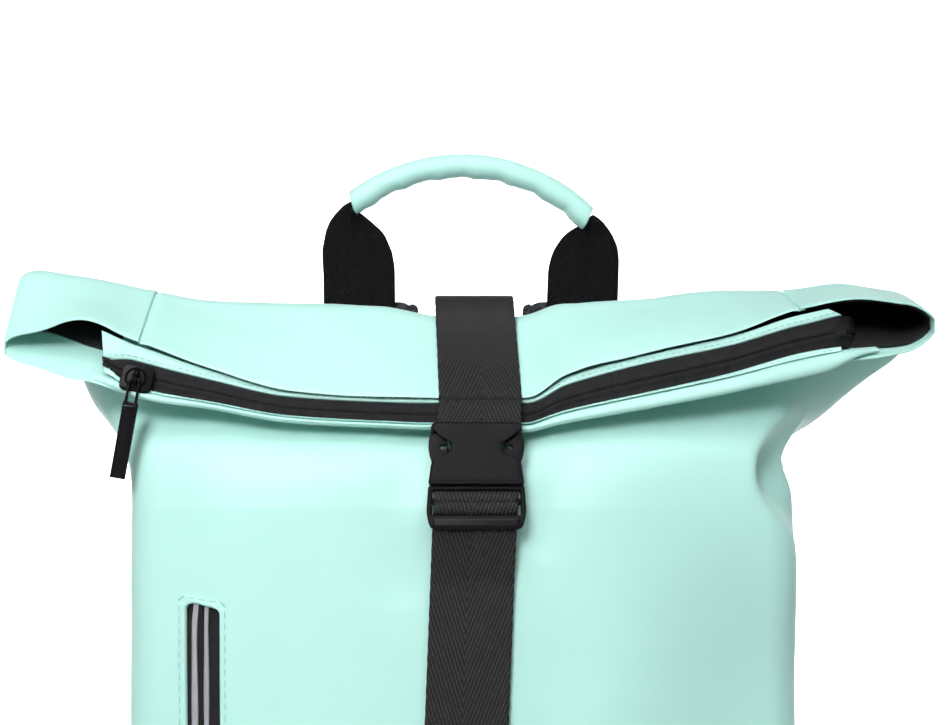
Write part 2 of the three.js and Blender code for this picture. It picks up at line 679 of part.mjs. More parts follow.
// The pull's frame: the slider's own direction along the zip, but straight down from the eye
function pullMatrix() {
  const along = v3().setFromMatrixColumn(onSlider, 0);
  const up = v3(0, 0, 1).addScaledVector(along, -along.z).normalize();
  const inward = v3().crossVectors(up, along);
  const eye = v3(0, -eyeReach, -eyeDrop).applyMatrix4(onSlider);
  return new THREE.Matrix4().makeBasis(along, inward, up).setPosition(eye);
}

add('zip_slider', slider().applyMatrix4(onSlider), blackMetal);
add('zip_pull', pull().applyMatrix4(pullMatrix()), blackMetal);

// A flat strap along points in a plane x = const, each with its own facing direction
function strapRings(points, width, thickness, x) {
  return points.map((point, i) => {
    const before = points[Math.max(i - 1, 0)];
    const after = points[Math.min(i + 1, points.length - 1)];
    const along = after.clone().sub(before).setX(0).normalize();
    const out = v3(0, along.z, -along.y);
    const edge = (sx, so) => v3(x + sx * width / 2, point.y, point.z)
      .addScaledVector(out, so * thickness / 2);
    return [edge(-1, 1), edge(1, 1), edge(1, -1), edge(-1, -1)];
  });
}

// Heights on the buckle are measured from the pin in its housing, along its own tilted face
const framePinShare = 0.36;
const shareAtHeight = (z) => (z - BASE_RISE) / (FLARE_HEIGHT - BASE_RISE);
const flareShareAt = (z) => 1 + (z - FLARE_HEIGHT) / (bendHeight(0) - FLARE_HEIGHT);
const frontFace = (z) => shell(0, z < FLARE_HEIGHT ? shareAtHeight(z) : flareShareAt(z)).y;
const housingTop = PIN / 2 + HOUSING_PLATE;
const housingFoot = housingTop - HOUSING_LENGTH;
const frameTop = housingFoot - SEAM_GAP;
const frameFoot = housingFoot - FRAME_LENGTH;
const framePin = housingFoot - FRAME_LENGTH * framePinShare;
const wrap = PIN / 2 + CLEARANCE + WEBBING_WALL / 2;
const buckleTilt = THREE.MathUtils.degToRad(BUCKLE_TILT);

// The pin stands out so far that the housing's back is clear of the bag all along
const pinHeight = BUCKLE_TOP - housingTop;
const buckleReach = BUCKLE_EASE + Math.max(...spread(housingFoot, housingTop, 8).map((z) => {
  const back = v3(0, BUCKLE_THICK / 2, z).applyAxisAngle(v3(1, 0, 0), -buckleTilt);
  return back.y - frontFace(pinHeight + back.z);
}));
const buckleMatrix = new THREE.Matrix4().makeRotationX(-buckleTilt)
  .setPosition(STRAP_X, -buckleReach, pinHeight);
const onBuckle = (y, z) => v3(0, y, z).applyMatrix4(buckleMatrix);

// Points on a turn of webbing round a pin
function turnRound(z, from, to, count) {
  return spread(from, to, count).map((degrees) => {
    const turn = THREE.MathUtils.degToRad(degrees);
    return onBuckle(-wrap * Math.sin(turn), z + wrap * Math.cos(turn));
  });
}

// The upper strap: sewn to the back, over the fold, round the housing's pin and up to its own hem
function upperStrap() {
  const lift = CLEARANCE + WEBBING_WALL / 2;
  const over = allLevels.filter((v) => v > 1.1).map((v) => {
    const arch = STRAP_ARCH * smooth((v - 1.7) / 0.5) * (1 - smooth((v - 2.5) / 0.8));
    return inset(2, v, -lift - arch);
  });
  const loop = turnRound(0, 75, 270, 6);
  const hem = onBuckle(wrap + WEBBING_WALL, STRAP_HEM);
  return loft(strapRings([...over, ...loop, hem], WEBBING, WEBBING_WALL, STRAP_X));
}

// The lower strap: sewn to the front, up behind the frame, round its pin and down again as a tail
function lowerStrap() {
  const lift = CLEARANCE + WEBBING_WALL / 2;
  const layer = WEBBING_WALL + CLEARANCE;
  const frameBottom = onBuckle(0, frameFoot).z;
  const onPanel = (z, depth) => v3(0, frontFace(z) - depth, z);
  const anchored = spread(STRAP_ANCHOR_HEIGHT, frameBottom - 24, 5).map((z) => onPanel(z, lift));
  const tail = spread(frameBottom - 24, frameBottom - STRAP_TAIL, 4).map((z) => onPanel(z, lift + layer));
  const behind = onBuckle(wrap, frameFoot);
  const ahead = onBuckle(wrap - layer, frameFoot);
  const tuck = onBuckle(wrap - layer, frameFoot + FRAME_BAR + CLEARANCE);
  const loop = turnRound(framePin, 270, 110, 6);
  const path = [...anchored, behind, ...loop, tuck, ahead, ...tail];
  return loft(strapRings(path, WEBBING, WEBBING_WALL, STRAP_X));
}

add('strap_upper', upperStrap(), blackWebbing);
add('strap_lower', lowerStrap(), blackWebbing);

// The housing: a waisted sleeve, open below for the insert, with a pin for the strap at its head
function housing() {
  const half = BUCKLE_WIDTH / 2;
  const waist = half - HOUSING_WAIST;
  const at = (share) => housingFoot + HOUSING_LENGTH * share;
  const outline = new THREE.Shape();
  outline.moveTo(-half, at(0));
  outline.lineTo(half, at(0));
  outline.lineTo(half - 1, at(0.28));
  outline.quadraticCurveTo(waist - 1, at(0.45), waist, at(0.62));
  outline.quadraticCurveTo(waist + 1, at(0.84), half, at(0.95));
  outline.lineTo(half - 3, at(1));
  outline.lineTo(-half + 3, at(1));
  outline.lineTo(-half, at(0.95));
  outline.quadraticCurveTo(-waist - 1, at(0.84), -waist, at(0.62));
  outline.quadraticCurveTo(-waist + 1, at(0.45), -half + 1, at(0.28));
  outline.lineTo(-half, at(0));
  const body = toManifold(plate(outline, BUCKLE_THICK, 5));
  const bay = BUCKLE_THICK - 2 * HOUSING_PLATE;
  const depth = HOUSING_LENGTH * 0.72;
  const tongueBay = block(TONGUE_WIDTH + 2 * CLEARANCE, bay, depth, 0, 0, at(0) + depth / 2 - 1);
  const armBays = [-1, 1].map((way) => block(BUCKLE_WIDTH, bay, depth, way * (RIB_REACH + half), 0,
    at(0) + depth / 2 - 1));
  const room = 2 * wrap + WEBBING_WALL + CLEARANCE;
  const strapBay = block(WEBBING + 2 * CLEARANCE, BUCKLE_THICK, room, 0, HOUSING_PLATE, 0);
  const bar = new THREE.CylinderGeometry(PIN / 2, PIN / 2, WEBBING + 3, 10).rotateZ(Math.PI / 2);
  return fromManifold(cut(body, tongueBay, ...armBays, strapBay).add(toManifold(bar)));
}

// The insert: a frame with a pin for the lower strap, and arms and a tongue up in the housing
function insert() {
  const height = frameTop - frameFoot;
  const frame = plate(roundedOutline(FRAME_WIDTH, height, 3), FRAME_THICK, 3)
    .translate(0, 0, frameFoot + height / 2);
  const windowTop = frameTop - FRAME_RIM;
  const windowFoot = frameFoot + FRAME_BAR;
  const inside = FRAME_WIDTH - 2 * FRAME_RIM;
  const window = block(inside, FRAME_THICK * 2, windowTop - windowFoot, 0, 0, (windowTop + windowFoot) / 2);
  const strapWay = block(inside, FRAME_THICK, FRAME_BAR * 2 + 1, 0, FRAME_THICK / 2 - 0.4, frameFoot);
  const bar = new THREE.CylinderGeometry(PIN / 2, PIN / 2, FRAME_WIDTH - FRAME_RIM, 10)
    .rotateZ(Math.PI / 2).translate(0, 0, framePin);
  const bay = BUCKLE_THICK - 2 * HOUSING_PLATE - 2 * CLEARANCE;
  const reach = HOUSING_LENGTH * 0.7 - 2 * CLEARANCE;
  const middle = frameTop + reach / 2 - 1;
  const armX = RIB_REACH + CLEARANCE + ARM_WIDTH / 2;
  const arms = [-1, 1].map((way) => block(ARM_WIDTH, bay, reach, way * armX, 0, middle));
  const tongue = block(TONGUE_WIDTH, bay, reach, 0, 0, middle);
  const hollow = cut(toManifold(frame), window, strapWay);
  return fromManifold([bar, ...arms, tongue].reduce((all, part) => all.add(toManifold(part)), hollow));
}

add('buckle_housing', housing().applyMatrix4(buckleMatrix), blackPlastic);
add('buckle_insert', insert().applyMatrix4(buckleMatrix), blackPlastic);

// The handle: webbing legs sewn to the back, gathered into a tube grip
const backFace = (x, z) => shell(2 - x / halfFlat, shareAtHeight(z)).y;
const handleY = backFace(HANDLE_SPREAD / 2, HANDLE_ANCHOR) + CLEARANCE + WEBBING_WALL / 2;
const gripTilt = THREE.MathUtils.degToRad(GRIP_TILT);
const gripRadius = (GRIP_SPAN ** 2 / 4 + GRIP_RISE ** 2) / (2 * GRIP_RISE);
const gripSweep = Math.asin(GRIP_SPAN / 2 / gripRadius);

function gripPoint(share) {
  const turn = gripSweep * share;
  const flatX = gripRadius * Math.sin(turn);
  const flatZ = gripRadius * (Math.cos(turn) - Math.cos(gripSweep));
  const x = flatX * Math.cos(gripTilt) - flatZ * Math.sin(gripTilt);
  const z = flatX * Math.sin(gripTilt) + flatZ * Math.cos(gripTilt);
  return v3(x, handleY, GRIP_END_HEIGHT + z);
}

function grip() {
  const sides = 12;
  return loft(spread(-1, 1, 18).map((share) => {
    const turn = -gripSweep * share + gripTilt;
    const up = v3(-Math.sin(turn), 0, Math.cos(turn));
    return Array.from({ length: sides }, (_, i) => {
      const angle = (i + 0.5) / sides * Math.PI * 2;
      const radius = GRIP_DIAMETER / 2;
      return gripPoint(share).addScaledVector(up, radius * Math.cos(angle))
        .add(v3(0, radius * Math.sin(angle), 0));
    });
  }));
}

// Rows up a handle leg: how far it has bent over to the grip, its width and its thickness
const LEG_ROWS = [
  { at: 0.00, bend: 0.00, wide: 1.00, thick: 0.00 },
  { at: 0.45, bend: 0.00, wide: 1.00, thick: 0.00 },
  { at: 0.80, bend: 0.00, wide: 1.00, thick: 0.02 },
  { at: 0.88, bend: 0.12, wide: 0.88, thick: 0.25 },
  { at: 0.95, bend: 0.50, wide: 0.58, thick: 0.55 },
  { at: 1.00, bend: 1.00, wide: 0.26, thick: 0.72 },
];

function handleLeg(way) {
  const end = gripPoint(way);
  const endTurn = -gripSweep * way + gripTilt;
  const endAlong = v3(Math.cos(endTurn), 0, Math.sin(endTurn)).multiplyScalar(-way);
  const start = v3(way * HANDLE_SPREAD / 2, handleY, HANDLE_ANCHOR);
  const tip = end.clone().addScaledVector(endAlong, -CLEARANCE);
  return loft(LEG_ROWS.map((row) => {
    const z = mix(start.z, tip.z - 2, row.at);
    const x = mix(start.x, tip.x, row.bend);
    const centre = row.bend === 1 ? tip : v3(x, handleY, z);
    const tilt = row.bend * Math.atan2(endAlong.x, endAlong.z);
    const across = v3(Math.cos(tilt), 0, -Math.sin(tilt));
    const halfWidth = WEBBING * row.wide / 2;
    const halfThick = mix(WEBBING_WALL, GRIP_DIAMETER, row.thick) / 2;
    const corners = [[-1, 0.3], [-0.6, 1], [0.6, 1], [1, 0.3], [1, -0.3], [0.6, -1], [-0.6, -1], [-1, -0.3]];
    return corners.map(([sx, sy]) => centre.clone().addScaledVector(across, sx * halfWidth)
      .add(v3(0, sy * halfThick, 0)));
  }));
}

add('handle_grip', grip(), coatedFabric);
add('handle_leg_left', handleLeg(-1), blackWebbing);
add('handle_leg_right', handleLeg(1), blackWebbing);

// The padded back: a pillow on the back panel
function backPad() {
  const columns = spread(-1, 1, 8);
  const rows = spread(0, 1, 8);
  const edge = (t) => Math.sqrt(Math.max(1 - Math.abs(t) ** 4, 0));
  return loft(rows.map((row) => {
    const v = shareAtHeight(mix(PAD_FOOT, PAD_TOP, row));
    const outer = columns.map((c) => {
      const swell = edge(c) * edge(2 * row - 1);
      return inset(2 - c * PAD_WIDTH / 2 / halfFlat, v, -SEAM_GAP - mix(1.2, PAD_THICK, swell));
    });
    const inner = columns.map((c) => inset(2 - c * PAD_WIDTH / 2 / halfFlat, v, -SEAM_GAP));
    return [...outer, ...inner.reverse()];
  }));
}

add('back_pad', backPad(), blackMesh);

// Rows along a shoulder strap from its sewn end, over its arch and down the back. Rise is the height
// as a share from the strap's foot to its top, and out is a share of the room behind the back panel.
const SHOULDER_ROWS = [
  { at: 0.00, rise: 0.620, out: 0.00, spread: 0.00, wide: 0.00, thick: 0.50 },
  { at: 0.08, rise: 0.800, out: 0.03, spread: 0.00, wide: 0.00, thick: 0.60 },
  { at: 0.16, rise: 0.940, out: 0.08, spread: 0.00, wide: 0.00, thick: 0.75 },
  { at: 0.22, rise: 0.980, out: 0.30, spread: 0.02, wide: 0.05, thick: 0.90 },
  { at: 0.28, rise: 0.950, out: 0.62, spread: 0.05, wide: 0.10, thick: 1.00 },
  { at: 0.40, rise: 0.820, out: 0.90, spread: 0.15, wide: 0.30, thick: 1.00 },
  { at: 0.60, rise: 0.550, out: 1.00, spread: 0.45, wide: 0.90, thick: 1.00 },
  { at: 0.80, rise: 0.270, out: 0.95, spread: 0.80, wide: 1.00, thick: 1.00 },
  { at: 0.94, rise: 0.060, out: 0.85, spread: 0.98, wide: 0.60, thick: 0.80 },
  { at: 1.00, rise: 0.000, out: 0.82, spread: 1.00, wide: 0.30, thick: 0.45 },
];
const strapRoomNear = handleY + WEBBING_WALL / 2 + SEAM_GAP + SHOULDER_THICK / 4;
const strapRoom = PAD_THICK + SHOULDER_THICK;

function shoulderCentre(row, way) {
  const x = way * mix(SHOULDER_SPREAD, SHOULDER_FOOT_SPREAD, row.spread) / 2;
  return v3(x, strapRoomNear + strapRoom * row.out, mix(SHOULDER_FOOT, SHOULDER_TOP, row.rise));
}

function shoulderStrap(way) {
  const centres = SHOULDER_ROWS.map((row) => shoulderCentre(row, way));
  return loft(SHOULDER_ROWS.map((row, i) => {
    const before = centres[Math.max(i - 1, 0)];
    const after = centres[Math.min(i + 1, centres.length - 1)];
    const along = after.clone().sub(before).setX(0).normalize();
    const out = v3(0, along.z, -along.y);
    const halfWidth = mix(SHOULDER_WIDTH, SHOULDER_PAD_WIDTH, row.wide) / 2;
    const halfThick = SHOULDER_THICK * row.thick / 2;
    const corners = [[-1, 0.4], [-0.85, 1], [0.85, 1], [1, 0.4], [1, -0.4], [0.85, -1], [-0.85, -1],
      [-1, -0.4]];
    return corners.map(([sx, so]) => centres[i].clone().addScaledVector(out, so * halfThick)
      .add(v3(sx * halfWidth, 0, 0)));
  }));
}

// Below the pad: an adjuster at its foot, and webbing from there to the bag's lower corner
function adjuster(way) {
  const foot = shoulderCentre(SHOULDER_ROWS[SHOULDER_ROWS.length - 1], way);
  const frame = toManifold(plate(roundedOutline(ADJUSTER_WIDTH, ADJUSTER_LENGTH, 3), ADJUSTER_THICK, 3));
  const slot = ADJUSTER_LENGTH * 0.26;
  const slots = [-1, 1].map((half) => block(SIDE_WEBBING + 1, ADJUSTER_THICK * 2, slot, 0, 0,
    half * ADJUSTER_LENGTH * 0.2));
  const z = foot.z - CLEARANCE - ADJUSTER_LENGTH / 2;
  return fromManifold(cut(frame, ...slots)).translate(foot.x, foot.y, z);
}

function sideWebbing(way) {
  const foot = shoulderCentre(SHOULDER_ROWS[SHOULDER_ROWS.length - 1], way);
  const barZ = foot.z - CLEARANCE - ADJUSTER_LENGTH * 0.7;
  const anchorZ = BASE_RISE + 12;
  const lowY = backFace(foot.x, anchorZ + 18) + CLEARANCE + WEBBING_WALL / 2;
  const behind = foot.y + ADJUSTER_THICK / 2 + CLEARANCE + WEBBING_WALL / 2;
  const points = [
    v3(0, lowY, anchorZ),
    v3(0, lowY, anchorZ + 18),
    v3(0, mix(lowY, behind, 0.75), barZ - 40),
    v3(0, behind, barZ - 18),
    v3(0, behind, foot.z + CLEARANCE - 2),
  ];
  return loft(strapRings(points, SIDE_WEBBING, WEBBING_WALL, foot.x));
}

for (const [name, way] of [['left', -1], ['right', 1]]) {
  add(`shoulder_strap_${name}`, shoulderStrap(way), blackMesh);
  add(`shoulder_adjuster_${name}`, adjuster(way), blackPlastic);
  add(`shoulder_webbing_${name}`, sideWebbing(way), blackWebbing);
}

// The zip behind the pocket's window, with a reflective stripe on each side of its coil
function pocketStrip(offset, width, from, to, depthOuter, depthInner) {
  const centre = (POCKET_X + BODY_LEAN + offset) / halfFlat;
  const half = width / 2 / halfFlat;
  const shares = [centre - half, centre, centre + half];
  const levels = spread(from, to, 8).map(shareAtHeight);
  return loft(levels.map((v) => {
    const outer = shares.map((p) => onFacets(panelColumns, allLevels, p, v, depthOuter));
    const inner = shares.map((p) => onFacets(panelColumns, allLevels, p, v, depthInner));
    return [...outer, ...inner.reverse()];
  }));
}

const pocketFoot = POCKET_TOP - POCKET_LENGTH;
const tapeDepth = WALL + SEAM_GAP;
const trimDepth = tapeDepth - SEAM_GAP;
const trimEnds = [pocketFoot + POCKET_WINDOW / 6, POCKET_TOP - POCKET_WINDOW / 6];
add('pocket_tape', pocketStrip(0, POCKET_WINDOW + 2 * POCKET_LAP, pocketFoot - POCKET_LAP,
  POCKET_TOP + POCKET_LAP, tapeDepth, tapeDepth + TAPE_WALL), zipTape);
add('pocket_coil', pocketStrip(0, POCKET_COIL, ...trimEnds, trimDepth - TRIM_WALL, trimDepth), zipTape);
for (const [name, way] of [['left', -1], ['right', 1]]) {
  add(`pocket_stripe_${name}`, pocketStrip(way * STRIPE_OFFSET, STRIPE_WIDTH, ...trimEnds,
    trimDepth - TRIM_WALL, trimDepth), reflective);
}

export default group;
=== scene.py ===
import math

import bmesh
import bpy
import numpy as np
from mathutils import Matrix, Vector


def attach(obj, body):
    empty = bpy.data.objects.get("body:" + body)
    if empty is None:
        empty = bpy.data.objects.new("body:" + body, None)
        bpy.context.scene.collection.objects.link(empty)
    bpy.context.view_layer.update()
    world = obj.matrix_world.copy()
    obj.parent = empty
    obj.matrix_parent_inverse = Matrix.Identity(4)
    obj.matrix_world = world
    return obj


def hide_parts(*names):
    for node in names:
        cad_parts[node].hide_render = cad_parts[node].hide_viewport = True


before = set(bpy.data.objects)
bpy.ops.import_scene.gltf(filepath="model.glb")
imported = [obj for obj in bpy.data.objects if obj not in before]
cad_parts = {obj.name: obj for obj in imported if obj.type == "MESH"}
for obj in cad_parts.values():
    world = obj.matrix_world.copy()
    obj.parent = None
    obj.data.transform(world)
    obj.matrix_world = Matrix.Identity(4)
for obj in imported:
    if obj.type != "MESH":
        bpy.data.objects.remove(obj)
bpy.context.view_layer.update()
MM = 0.001

# Sizes shared with the frame
BODY_WIDTH = 305
BODY_DEPTH = 136
CORNER_RADIUS = 14
FLARE_HEIGHT = 345
BODY_LEAN = 2
WALL = 1.8
CLEARANCE = 0.4
FRONT_BULGE = 4
BACK_BULGE = 2
SIDE_BULGE = 5
BASE_RISE = 14
BASE_ROUND = 12
DENT_DEPTH = 21
DENT_SPREAD = 16
ROLL_HEIGHT = 440
ROLL_RADIUS = 12
ROLL_SETBACK = -12
FLAP_DROP = 60
MOUTH_GAPE = 30
MOUTH_REACH = 60
FOLD_GAP = 8
FACING_WALL = 1.3
ZIP_RECESS = 2.5
WEBBING = 38
WEBBING_WALL = 1.5
STRAP_X = 3
STRAP_ARCH = 7.5
STRAP_HEM = 8
STRAP_TAIL = 150
STRAP_ANCHOR_HEIGHT = 96
BUCKLE_TOP = 383
BUCKLE_TILT = 10.5
HOUSING_LENGTH = 28
HOUSING_PLATE = 2
FRAME_LENGTH = 20
PIN = 3
HANDLE_SPREAD = 118
GRIP_DIAMETER = 12
GRIP_SPAN = 124
GRIP_RISE = 24
GRIP_END_HEIGHT = 489
GRIP_TILT = -3.7
POCKET_X = -120
POCKET_TOP = 301
POCKET_LENGTH = 170
POCKET_WINDOW = 15.6

# Sizes of the scene alone
DENT_HEIGHT = 361
CORNER_DENT_SPREAD = 14
REAR_DENT_DEPTH = 12
REAR_DENT_HEIGHT = 367
REAR_DENT_SPREAD = 8.5
FRONT_FALL_RIGHT = 28
FRONT_FALL_LEFT = 9
NECK_FLARE = 12
NECK_FLARE_HEIGHT = 383
NECK_FLARE_SPREAD = 15
LIP_SETBACK = 10
TOOTH_PITCH = 1.15
TEETH_SHARE = 0.56
ZIP_STEPS = 760
BUCKLE_REACH = 72


def table(columns, rows):
    """Rows of values under named columns."""
    return [dict(zip(columns.split(), row)) for row in rows]


# Rows across the folded top, as in the frame
FOLD_ROWS = table("at crest drop gape top foot", [
    (-1.00, 0.29, 0.39, 0.50, 0.40, 0.78), (-0.95, 0.24, 0.40, 0.52, 0.40, 0.78),
    (-0.82, 0.16, 0.41, 0.95, 0.40, 0.78), (-0.70, 0.07, 0.56, 0.90, 0.37, 0.77),
    (-0.55, -0.01, 0.70, 0.68, 0.32, 0.79), (-0.38, -0.03, 0.84, 0.54, 0.24, 0.78),
    (-0.20, -0.05, 0.88, 0.52, 0.22, 0.80), (-0.09, -0.11, 0.89, 0.54, 0.22, 0.80),
    (0.12, -0.11, 0.89, 0.54, 0.22, 0.80), (0.20, -0.03, 0.77, 0.72, 0.25, 0.77),
    (0.38, 0.02, 0.61, 0.82, 0.22, 0.75), (0.55, 0.07, 0.48, 0.87, 0.23, 0.69),
    (0.70, 0.08, 0.33, 1.00, 0.24, 0.64), (0.82, 0.13, 0.25, 0.97, 0.20, 0.70),
    (0.92, 0.08, 0.24, 0.80, 0.20, 0.70), (1.00, 0.04, 0.22, 0.60, 0.20, 0.70),
])
FLARE_ROWS = table("at closed", [
    (0.00, 0.00), (0.14, 0.02), (0.28, 0.07), (0.36, 0.14), (0.46, 0.25), (0.60, 0.43), (0.75, 0.66),
    (0.88, 0.88), (1.00, 1.00),
])
LOOP_ROWS = table("at open", [
    (0.00, 0.50), (0.55, 0.52), (0.70, 0.62), (0.85, 0.90), (1.00, 1.10),
])
LOOP_ROUNDING = 0.93


def smooth(t):
    s = np.clip(t, 0, 1)
    return s * s * (3 - 2 * s)


def mix(a, b, t):
    return a + (b - a) * t


def column(rows, key):
    """A smooth curve through one column of a table, which never swings past its rows."""
    at = np.array([row["at"] for row in rows], float)
    value = np.array([row[key] for row in rows], float)
    rate = np.diff(value) / np.diff(at)
    before = np.concatenate([rate[:1], rate])
    after = np.concatenate([rate, rate[-1:]])
    same = before * after > 0
    slope = np.where(same, 2 * before * after / np.where(same, before + after, 1), 0)

    def curve(x):
        s = np.clip(x, at[0], at[-1])
        i = np.clip(np.searchsorted(at, s, side="right") - 1, 0, len(at) - 2)
        span = at[i + 1] - at[i]
        t = (s - at[i]) / span
        rise = t * t * (3 - 2 * t)
        bend = t * (1 - t) ** 2 * span * slope[i] + t * t * (t - 1) * span * slope[i + 1]
        return value[i] * (1 - rise) + value[i + 1] * rise + bend

    return curve


crest_share = column(FOLD_ROWS, "crest")
drop_share = column(FOLD_ROWS, "drop")
gape_share = column(FOLD_ROWS, "gape")
zip_top = column(FOLD_ROWS, "top")
zip_foot = column(FOLD_ROWS, "foot")
flare_share = column(FLARE_ROWS, "closed")
loop_share = column(LOOP_ROWS, "open")

flat_side = BODY_WIDTH / 2 - CORNER_RADIUS
corner_arc = CORNER_RADIUS * math.pi / 2
half_flat = flat_side + corner_arc + BODY_DEPTH / 2 - CORNER_RADIUS
seam = (flat_side + corner_arc / 2) / half_flat


def loop_end(u):
    t = np.clip((np.abs(u) - LOOP_ROUNDING) / (1 - LOOP_ROUNDING), 0, 1)
    return np.sqrt(np.maximum(1 - t * t, 0))


def loose_gap(u):
    return FOLD_GAP * loop_share(np.abs(u))


def half_gap(u):
    return loose_gap(u) * loop_end(u)


def bend_height(u):
    return ROLL_HEIGHT + FLAP_DROP * crest_share(u) - ROLL_RADIUS - loose_gap(u)


def mouth_height(u):
    return ROLL_HEIGHT - FLAP_DROP * drop_share(u)


def mouth_gape(u):
    return MOUTH_GAPE * gape_share(u) * loop_end(u)


def dent(u, side, z):
    """The folds where the flare leaves the body's sides: deep at the front corner, slight behind it."""
    off = (np.abs(u) - seam) / (1 - seam)
    across = np.where(side < 0, np.clip(off / 2, -0.5, 0.5), np.clip(1 - off / 2, 0.5, 1))
    corner = smooth((across + 0.17) / 0.24) * (1 - smooth((across - 0.02) / 0.30))
    deep = DENT_DEPTH * np.exp(-(((z - DENT_HEIGHT) / CORNER_DENT_SPREAD) ** 2) / 2) * corner
    behind = smooth((across - 0.05) / 0.3) * (1 - smooth((across - 0.6) / 0.4))
    slight = REAR_DENT_DEPTH * np.exp(-(((z - REAR_DENT_HEIGHT) / REAR_DENT_SPREAD) ** 2) / 2) * behind
    right = np.maximum(deep, slight)
    left = DENT_DEPTH * np.exp(-(((z - DENT_HEIGHT) / DENT_SPREAD) ** 2) / 2)
    left = left * smooth(across / 0.4) * (1 - smooth((across - 0.6) / 0.4))
    return np.where(u > 0, right, left / 2)


def corner_slope(x, y, z):
    """How far the filled bag's front falls back towards its sides, more on the right than on the left."""
    front = 1 - smooth((y + 62) / 70)
    right = FRONT_FALL_RIGHT * smooth((x - 58) / 96) * mix(0.55, 1.0, smooth((340 - z) / 90))
    left = FRONT_FALL_LEFT * smooth((-x - 104) / 50)
    return (right + left) * front * smooth((z - 20) / 60)


def wall_of(p):
    """Fabric share from the middle of the wall, and the wall: -1 front, 1 back."""
    around = np.mod(p + 4, 4)
    side = np.where((around > 1) & (around < 3), 1.0, -1.0)
    u = np.where(around > 3, around - 4, np.where(around > 1, 2 - around, around))
    return u, side


def shell(p, v):
    """The outer face of the sewn tube, as in the frame."""
    p, v = np.broadcast_arrays(np.asarray(p, float), np.asarray(v, float))
    u, side = wall_of(p)
    along = np.abs(u) * half_flat
    turn = (along - flat_side) / CORNER_RADIUS
    past = along > flat_side + corner_arc
    corner = along > flat_side
    round_x = np.where(corner, flat_side + CORNER_RADIUS * np.sin(turn), along)
    round_y = np.where(corner, BODY_DEPTH / 2 - CORNER_RADIUS * (1 - np.cos(turn)), BODY_DEPTH / 2)
    box_x = np.where(past, BODY_WIDTH / 2, round_x) * np.sign(u)
    box_y = np.where(past, half_flat - along, round_y) * side
    neck_y = ROLL_SETBACK + ROLL_RADIUS + side * half_gap(u)
    z = np.where(v <= 1, mix(BASE_RISE, FLARE_HEIGHT, v), mix(FLARE_HEIGHT, bend_height(u), v - 1))
    closed = np.where(v <= 1, 0.0, flare_share(v - 1))
    swell = np.sin(math.pi * np.clip(z / ROLL_HEIGHT, 0, 1)) * (1 - closed)
    across = np.clip(box_x * 2 / BODY_WIDTH, -1, 1)
    depth = np.clip(box_y * 2 / BODY_DEPTH, -1, 1)
    in_dent = dent(u, side, z)
    full_x = box_x + np.sign(u) * (SIDE_BULGE * swell * (1 - depth * depth) - in_dent)
    bulge = np.where(side < 0, FRONT_BULGE, BACK_BULGE)
    full_y = box_y + side * bulge * swell * (1 - across * across) + in_dent * 0.25
    full_y = full_y + corner_slope(box_x, box_y, z) * (1 - closed)
    lean = BODY_LEAN * (1 - closed) * smooth(z / FLARE_HEIGHT)
    near_neck = np.exp(-(((z - NECK_FLARE_HEIGHT) / NECK_FLARE_SPREAD) ** 2) / 2)
    spread = np.where(u < 0, NECK_FLARE, 0.0) * near_neck * smooth((np.abs(u) - 0.62) / 0.25)
    low_x = mix(full_x, u * half_flat, closed) - lean - spread
    low = np.stack([low_x, mix(full_y, neck_y, closed), z], -1)
    radius = ROLL_RADIUS + side * half_gap(u)
    centre_z = bend_height(u)
    lip_y = LIP_SETBACK * smooth((np.abs(u) - 0.8) / 0.2) - MOUTH_REACH
    lip_z = mouth_height(u) + side * mouth_gape(u) / 2
    dy, dz = lip_y - ROLL_SETBACK, lip_z - centre_z
    reach = np.hypot(dy, dz)
    flap = np.sqrt(np.maximum(reach * reach - radius * radius, 0))
    whole = np.mod(np.arctan2(dz, dy), 2 * math.pi) - np.arctan2(flap, radius)
    angle = whole * np.clip(v - 2, 0, 1)
    run = flap * np.maximum(v - 3, 0)
    high = np.stack([
        u * half_flat,
        ROLL_SETBACK + radius * np.cos(angle) - run * np.sin(angle),
        centre_z + radius * np.sin(angle) + run * np.cos(angle),
    ], -1)
    return np.where((v <= 2)[..., None], low, high)


def unit(a):
    return a / np.maximum(np.linalg.norm(a, axis=-1, keepdims=True), 1e-9)


def outward(p, v):
    p, v = np.broadcast_arrays(np.asarray(p, float), np.asarray(v, float))
    along_p = shell(p + 0.004, v) - shell(p - 0.004, v)
    along_v = shell(p, np.minimum(v + 0.01, 4)) - shell(p, np.maximum(v - 0.01, 0))
    return unit(np.cross(along_p, along_v))


def inset(p, v, depth):
    return shell(p, v) - outward(p, v) * np.asarray(depth)[..., None]


# Soft creases in the cloth, as seen from the front: a line from x, z to x2, z2, its half width and how far
# it stands out. The face is the flap over the fold or the front of the body.
CREASES = table("face x z x2 z2 wide out", [
    ("flap", -148, 428, -60, 412, 9, 0.9), ("flap", 4, 446, 3, 408, 18, -4.4),
    ("flap", -72, 432, -36, 408, 9, 1.3), ("flap", 40, 412, 110, 433, 8, 1.2),
    ("flap", 60, 410, 140, 430, 4, -0.7), ("flap", 44, 436, 96, 440, 7, -0.9),
    ("flap", -142, 441, -100, 425, 5, -0.6), ("flap", -205, 444, -160, 438, 4, -0.5),
    ("flap", -190, 430, -160, 428, 5, 0.5), ("body", -62, 372, -20, 330, 13, 1.3),
    ("body", 44, 374, 30, 320, 10, -1.6), ("body", -33, 362, -30, 300, 10, -1.3),
    ("body", 50, 262, 100, 232, 24, 0.8), ("body", -90, 240, -40, 205, 24, 0.8),
    ("body", 34, 290, 40, 180, 14, -0.8),
])


